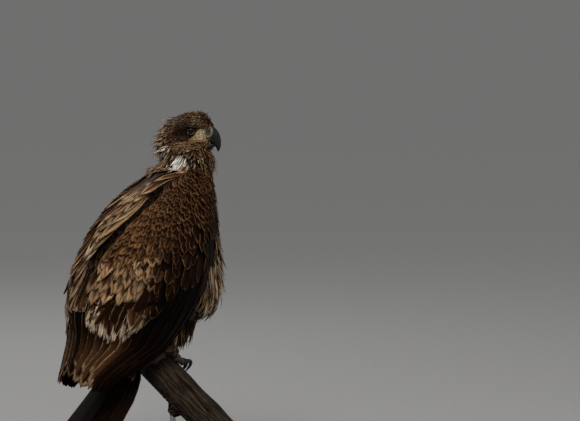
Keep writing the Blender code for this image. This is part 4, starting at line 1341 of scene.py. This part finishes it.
def cere_paint(local):
    """Grey cere round the nostril in a pale rim; lore skin behind it and bare horn in front."""
    x, z = local[:, 0], local[:, 2]
    reach = cere_reach(x, z)
    rim = np.exp(-(((reach - 1.0) / 0.13) ** 2))[:, None]
    tint = blend(colour(205, 186, 146), colour(70, 64, 54), step(reach, 1.02, 0.92)[:, None])
    tint = blend(tint, colour(172, 158, 128), rim)
    # The nostril's opening is painted near-black, as the shade inside it.
    tint = blend(tint, colour(10, 9, 9), spot(x, z, NOSTRIL, (0.0032, 0.0022), 2)[:, None])
    behind = step(x + 0.25 * (z + 0.012), 0.0448, 0.0424)
    return tint, np.clip(np.maximum(behind, step(reach, 1.16, 1.04)), 0, 1)


def jaw_paint(local):
    """Pale skin at the jaw's root and under it, dark horn at its tip."""
    x, z = local[:, 0], local[:, 2]
    pale = np.maximum(step(x, 0.050, 0.040), 0.9 * step(z, -0.022, -0.026))
    return blend(colour(9, 8, 8), colour(122, 106, 76), step(x, 0.050, 0.042)[:, None]), pale


def build_bill(look):
    """Upper bill with its cere, cutting edge, hook and nostrils, and the lower bill under it."""
    around = full_turn(64)
    c, s = np.cos(around), np.sin(around)
    ridge = 1.0 - 0.24 * np.clip(s, 0, 1) ** 3
    low = np.where(s < 0, np.abs(s) ** 0.75 * np.sign(s), s)
    upper, lower = [], []
    for x, z, tilt, height, half in smooth_stations(UPPER_BILL, count=90):
        turn, lift = math.radians(tilt), low * height
        side = np.sign(c) * np.abs(c) ** 0.86 * half * ridge
        upper.append(np.stack([x + math.sin(turn) * lift, side, z + math.cos(turn) * lift], -1))
    for x, z, height, half in smooth_stations(LOWER_BILL, count=20):
        lower.append(np.stack([np.full(len(around), x), c * half, z + s * height], -1))
    upper, lower = (loft_mesh(head_world(np.array(rings))) for rings in (upper, lower))
    local = head_local(coordinates(upper))
    x, z = local[:, 0], local[:, 2]
    nostril = spot(x, z, NOSTRIL, (0.0030, 0.0020), 2)
    local[:, 1] -= np.sign(local[:, 1]) * 0.0034 * nostril
    reach = cere_reach(x, z)
    swell = 0.0008 * np.exp(-(((reach - 1.0) / 0.16) ** 2)) + 0.0004 * step(reach, 1.0, 0.8) * (1 - nostril)
    local[:, 1] += np.sign(local[:, 1]) * swell
    set_coordinates(upper, head_world(local))
    for name, mesh, paint in (("upper", upper, cere_paint), ("lower", lower, jaw_paint)):
        local = head_local(coordinates(mesh))
        paint_horn(mesh, local * HORN_GRAIN, *paint(local))
        new_piece(f"bill_{name}_horn", mesh, look, "horn", f"bill_{name}")


def build_eye(side, ball_look, lid_look):
    """An eyeball, the thin rim of skin round it, and the brow's ledge that shades it."""
    sign = SIDES[side]
    gaze = (HEAD_LEFT * sign + HEAD_FORWARD * 0.30 + HEAD_UP * 0.02).normalized()
    centre = np.array(EYES[side] - gaze * 0.0012)
    upright = (HEAD_UP - gaze * HEAD_UP.dot(gaze)).normalized()
    across, upright, gaze = np.array(upright.cross(gaze)), np.array(upright), np.array(gaze)
    mesh = bpy.data.meshes.new("ball")
    work = bmesh.new()
    bmesh.ops.create_uvsphere(work, u_segments=40, v_segments=24, radius=0.0098)
    work.to_mesh(mesh)
    work.free()
    points = coordinates(mesh) + centre
    set_coordinates(mesh, points)
    off = unit(points - centre)
    set_attribute(mesh, "reach", np.where(off @ gaze > 0, np.linalg.norm(np.cross(off, gaze), axis=1), 1.0))
    mesh.shade_smooth()
    new_piece("eyeball_" + side, mesh, ball_look, "eye", "eye_" + side)

    turn = full_turn(48)
    tall = np.where(np.sin(turn) > 0, 0.74, 0.92)  # the brow hides the opening's top
    rings = []
    for part in full_turn(10):
        radius, out = 0.0083 + 0.0009 * math.cos(part), 0.0052 + 0.0009 * math.sin(part)
        rings.append(centre + gaze * out + np.outer(np.cos(turn) * radius, across)
                     + np.outer(np.sin(turn) * radius * tall, upright))
    mesh = loft_mesh(np.array(rings), endless=True)
    rise = (coordinates(mesh) - centre) @ upright / 0.0085
    shade = step(rise, -0.05, -0.55)[:, None]
    set_colour(mesh, "tint", blend(colour(30, 23, 17), colour(178, 160, 122), shade))
    new_piece("lids_" + side, mesh, lid_look, "feathers")

    s = steps(18)
    path = [head_point(0.030 - 0.036 * p, sign * (0.0300 + 0.0100 * math.sin(math.pi * min(1, p * 1.1))),
                       0.0105 + 0.0040 * math.sin(math.pi * p) - 0.002 * p) for p in s]
    radii = 0.0006 + 0.0019 * np.sin(math.pi * np.clip(s, 0.02, 0.98)) ** 0.7
    mesh = tube_mesh(path, radii, sides=14, squash=0.7)
    # The brow's ledge is painted near-black: its dark feathering and the painted shadow it throws over the
    # eye.
    set_colour(mesh, "tint", colour(24, 16, 11))
    new_piece("brow_" + side, mesh, lid_look, "feathers")


# The mouth's corner: name, height of its front end, radius, colour.
FOLDS = (
    ("gape", -0.0190, 0.0020, colour(178, 146, 72)),
    ("gape_fold", -0.0224, 0.0015, colour(158, 122, 98)),
)


def build_gape(side, look):
    """The yellow flange of the mouth's corner, which ends under the eye, and the soft fold below it."""
    s = steps(24)
    for name, low, radius, tone in FOLDS:
        path = [head_point(0.0480 - 0.0405 * p, SIDES[side] * (0.0152 + 0.0215 * p**0.75), low + 0.0012 * p)
                for p in s]
        radii = radius * np.sin(math.pi * np.clip(0.12 + 0.86 * s, 0, 1)) ** 0.5 + 0.0002
        mesh = tube_mesh(path, radii, sides=12, squash=0.8)
        set_colour(mesh, "tint", tone)
        new_piece(f"{name}_{side}", mesh, look, "horn")


# ---------- feet

# Toes: name, place along the perch at the tip, angle round it of the last joint and of the claw's end.
TOES = (
    ("inner", -0.036, 48.0, 94.0),
    ("middle", 0.002, 56.0, 104.0),
    ("outer", 0.027, 40.0, 76.0),
    ("hallux", 0.003, -52.0, -104.0),
)


TOE_REACH, SCUTE = 0.052, 0.0052  # the toes' distance from the perch's axis, and a scute's length


def foot_place(side):
    return PERCH_PLACE + PERCH_AXIS * ((FOOT_PLACES[side] - PERCH_PLACE.y) / PERCH_AXIS.y)


def round_perch(points):
    """Points by the perch's own axis: place along it, angle round it and distance from it."""
    off = points - np.array(PERCH_PLACE)
    along, up, ahead = (off @ np.array(way) for way in (PERCH_AXIS, PERCH_UP, PERCH_SIDE))
    return along, np.arctan2(ahead, up), np.hypot(up, ahead)


def build_foot(side, look):
    """The bare lower leg and toes as one scaly skin, with scutes across the upper side."""
    names = ["tarsus_" + side] + [f"toe_{side}_{toe[0]}" for toe in TOES]
    mesh = even_skin(names, voxel=0.0011, smoothing=5)
    points, outward = coordinates(mesh), coordinates(mesh, "normal")
    _, angle, radius = round_perch(points)
    above = step(radius, PERCH_RADIUS + 0.007, PERCH_RADIUS + 0.014)
    run = np.abs(angle) * TOE_REACH / SCUTE
    edge = np.clip(np.abs(run - np.floor(run) - 0.5) * 2, 0, 1) ** 6
    set_coordinates(mesh, points + outward * ((0.0006 * (1 - edge) - 0.0002) * above)[:, None])
    set_attribute(mesh, "scute", 1.0 - 0.75 * edge * above)
    mesh.shade_smooth()
    new_piece("foot_" + side, mesh, look, "foot_skin", *names)


def build_claws(side, look):
    """Tapered claws that arch from the toes' tips down round the perch."""
    for name, tip, last, end in TOES:
        path, radii = [], []
        for part in steps(24):
            angle = math.radians(last - math.copysign(4.0, last) + (end - last) * 1.06 * part)
            radius = max(0.0005, 0.0062 * (1.0 - part) ** 0.66)
            lift = 0.0070 + 0.019 * math.sin(math.pi * min(1.0, part * 1.15)) * (1.0 - 0.35 * part)
            turn = PERCH_UP * math.cos(angle) + PERCH_SIDE * math.sin(angle)
            path.append(foot_place(side) + PERCH_AXIS * (-SIDES[side] * tip)
                        + turn * (PERCH_RADIUS + max(lift, radius + 0.0004)))
            radii.append(radius)
        mesh = tube_mesh(path, np.array(radii), sides=14, up=PERCH_AXIS)
        points = coordinates(mesh)
        paint_horn(mesh, points * 220.0, colour(40, 38, 38), np.zeros(len(points)))
        new_piece(f"talon_{side}_{name}", mesh, look, "horn", f"claw_{side}_{name}")


# ---------- perch and stand

# Long cracks of the perch: angle round it, start and end along it, half width in radians.
CHECKS = ((0.55, 0.00, 0.26, 0.095), (1.9, 0.09, 0.25, 0.06), (-0.5, 0.05, 0.22, 0.05),
          (-2.4, -0.12, 0.10, 0.06), (1.3, -0.14, 0.02, 0.04))


def turned(angle):
    """The angle in radians, between minus and plus half a turn."""
    return np.angle(np.exp(1j * angle))


def build_perch(look):
    """The cut branch: grain ridges, long checks and a crust over the CAD shape, plain where the feet are."""
    mesh = even_skin(["perch"], voxel=0.0030, smoothing=4)
    points, outward = coordinates(mesh), coordinates(mesh, "normal")
    along, angle, _ = round_perch(points)

    def wave(a, b, c):
        return np.sin(a * angle + b * along + c)

    ridges = 0.45 * wave(9, 14, 0.3) + 0.35 * wave(17, -23, 1.7) + 0.3 * wave(31, 40, 4.0)
    lumps = wave(2, 31, 1.0) * wave(3, -17, 2.0)
    centres = [(foot_place(side) - PERCH_PLACE).dot(PERCH_AXIS) for side in SIDES]
    free = 1 - np.max([step(np.abs(along - centre), 0.060, 0.042) for centre in centres], axis=0)
    checks = np.zeros(len(points))
    for turn, start, end, width in CHECKS:
        drift = turned(angle - turn - 0.16 * np.sin(18 * along))
        span = step(along, start, start + 0.03) * step(along, end, end - 0.03)
        checks = np.maximum(checks, np.exp(-(drift / width) ** 2) * span)
    crust = step(np.abs(turned(angle + 2.3)), 0.9, 0.4) * wave(23, 160, 2.0) * wave(13, -240, 1.0)
    shift = (0.0011 * ridges + 0.0016 * lumps + 0.0022 * crust) * free - 0.0012 * free
    shift = shift - 0.0060 * checks * free
    set_coordinates(mesh, points + outward * shift[:, None])
    set_attribute(mesh, "grain", np.stack([along * 17.0, np.cos(angle) * 12.0, np.sin(angle) * 12.0], -1))
    set_attribute(mesh, "check", checks * free)
    mesh.shade_smooth()
    new_piece("driftwood_perch", mesh, look, "driftwood", "perch")


def dress_stand():
    """The stand's CAD solids stay, with their own materials."""
    steel, paint = steel_material(), base_material()
    for name, look in (("stand_rod_1", steel), ("stand_rod_2", steel), ("stand_base", paint)):
        NODES[name].data.materials.clear()
        NODES[name].data.materials.append(look)


# ---------- stage, lights, camera

VIEW_AZIMUTH = math.radians(-38.0)
VIEW_ELEVATION = math.radians(5.0)
VIEW_DISTANCE = 8.0
VIEW_WIDTH = 1.334  # metres across the frame at the bird
AIM_RIGHT = 0.322  # the frame's middle, right of the origin's axis
AIM_HEIGHT = 0.605
SENSOR = 36.0
FLOOR_REACH = 120.0
WORLD_LEVEL = 0.172
LIGHT_AIM = Vector((0.0, 0.0, 0.5))
LIGHTS = (
    # name, place, size, power, colour
    ("key", (-1.6, -1.7, 3.2), 1.5, 62.0, (1.0, 0.97, 0.93)),
    ("fill", (2.2, -2.4, 1.6), 2.0, 6.0, (1.0, 1.0, 1.0)),
    ("back", (0.6, 2.8, 2.6), 1.6, 22.0, (1.0, 1.0, 1.0)),
)


def aim(made, way):
    made.rotation_euler = way.to_track_quat("-Z", "Y").to_euler()


def build_camera():
    """The photograph's viewing angle, from so far off that the bird shows nearly flat."""
    right = Vector((math.cos(VIEW_AZIMUTH), math.sin(VIEW_AZIMUTH), 0.0))
    level = Vector((-math.sin(VIEW_AZIMUTH), math.cos(VIEW_AZIMUTH), 0.0))
    look = level * math.cos(VIEW_ELEVATION) - Vector((0, 0, math.sin(VIEW_ELEVATION)))
    data = bpy.data.cameras.new("camera")
    data.sensor_width = SENSOR
    data.lens = SENSOR * VIEW_DISTANCE / VIEW_WIDTH
    data.clip_end = 300.0
    camera = add_to_scene("camera", data)
    camera.location = right * AIM_RIGHT + Vector((0, 0, AIM_HEIGHT)) - look * VIEW_DISTANCE
    aim(camera, look)
    bpy.context.scene.camera = camera


def build_lights():
    """Soft studio light: a key from the photograph's left, a weak fill and a light from behind."""
    for name, place, size, power, tone in LIGHTS:
        data = bpy.data.lights.new(name, "AREA")
        data.shape, data.size, data.energy, data.color = "DISK", size, power, tone
        light = add_to_scene(name, data)
        light.location = place
        aim(light, LIGHT_AIM - light.location)


def build_floor():
    """A plain pale floor."""
    n = Nodes("floor_look")
    tone = n.between(n.noise(n.place(), scale=60.0), 0.3, 0.7, (0.385, 0.385, 0.385), (0.41, 0.41, 0.41))
    mesh = bpy.data.meshes.new("floor")
    reach, level = FLOOR_REACH, CAD_BOX[0].z
    corners = [(-reach, -reach, level), (reach, -reach, level), (reach, reach, level), (-reach, reach, level)]
    mesh.from_pydata(corners, [], [(0, 1, 2, 3)])
    mesh.materials.append(n.finish(tone, 0.9, Specular_IOR_Level=0.1))
    floor = add_to_scene("floor", mesh)


def build_world():
    """Studio light from all round, brighter overhead, level at the horizon as the far floor is."""
    world = bpy.data.worlds.new("studio")
    world.use_nodes = True
    tree = world.node_tree
    kinds = ("TexCoord", "SeparateXYZ", "MapRange")
    place, split, ramp = (tree.nodes.new("ShaderNode" + kind) for kind in kinds)
    tree.links.new(place.outputs["Generated"], split.inputs[0])
    tree.links.new(split.outputs[2], ramp.inputs["Value"])
    ramp.inputs["To Min"].default_value = WORLD_LEVEL
    ramp.inputs["To Max"].default_value = 2.9 * WORLD_LEVEL
    background = tree.nodes["Background"]
    tree.links.new(ramp.outputs[0], background.inputs["Strength"])
    background.inputs["Color"].default_value = (1.0, 0.99, 0.98, 1.0)
    bpy.context.scene.world = world
    bpy.context.scene.view_settings.view_transform = "Standard"


# ---------- all together

def build_bird():
    body_look = feather_material("body_feather_look", roughness=0.62)
    wing_look = feather_material("wing_feather_look", roughness=0.50)
    long_look = feather_material("flight_feather_look", roughness=0.60)
    horn, lids, eye, foot = horn_material(), lid_material(), eye_material(), foot_material()
    core = ["trunk", "neck"]
    wing_names = [f"wing_{side}_{part}" for side in SIDES for part in ("coverts", "secondaries", "primaries")]
    whole, wings = Hull(core + wing_names), Hull(wing_names)
    build_skin(skin_material())
    for side in SIDES:
        build_wing_coverts(whole, side, wing_look)
        build_flight_feathers(wings, side, long_look)
    build_scapulars(whole, body_look)
    build_breast(Hull(core, passes=3), body_look)
    build_head_feathers(tree_of(["head", "neck", "trunk"]), body_look)
    build_neck_hackles(tree_of(["head", "neck", "trunk", "bill_lower"]), body_look)
    build_trousers(body_look)
    build_tail(long_look)
    build_tail_coverts(body_look)
    build_bill(horn)
    for side in SIDES:
        build_gape(side, lids)
    for side in SIDES:
        build_eye(side, eye, lids)
    for side in SIDES:
        build_foot(side, foot)
        build_claws(side, horn)


for old in [o for o in bpy.data.objects if o.type in ("LIGHT", "CAMERA")]:
    bpy.data.objects.remove(old)
build_camera()
build_floor()
build_world()
build_lights()
build_bird()
build_perch(wood_material())
dress_stand()
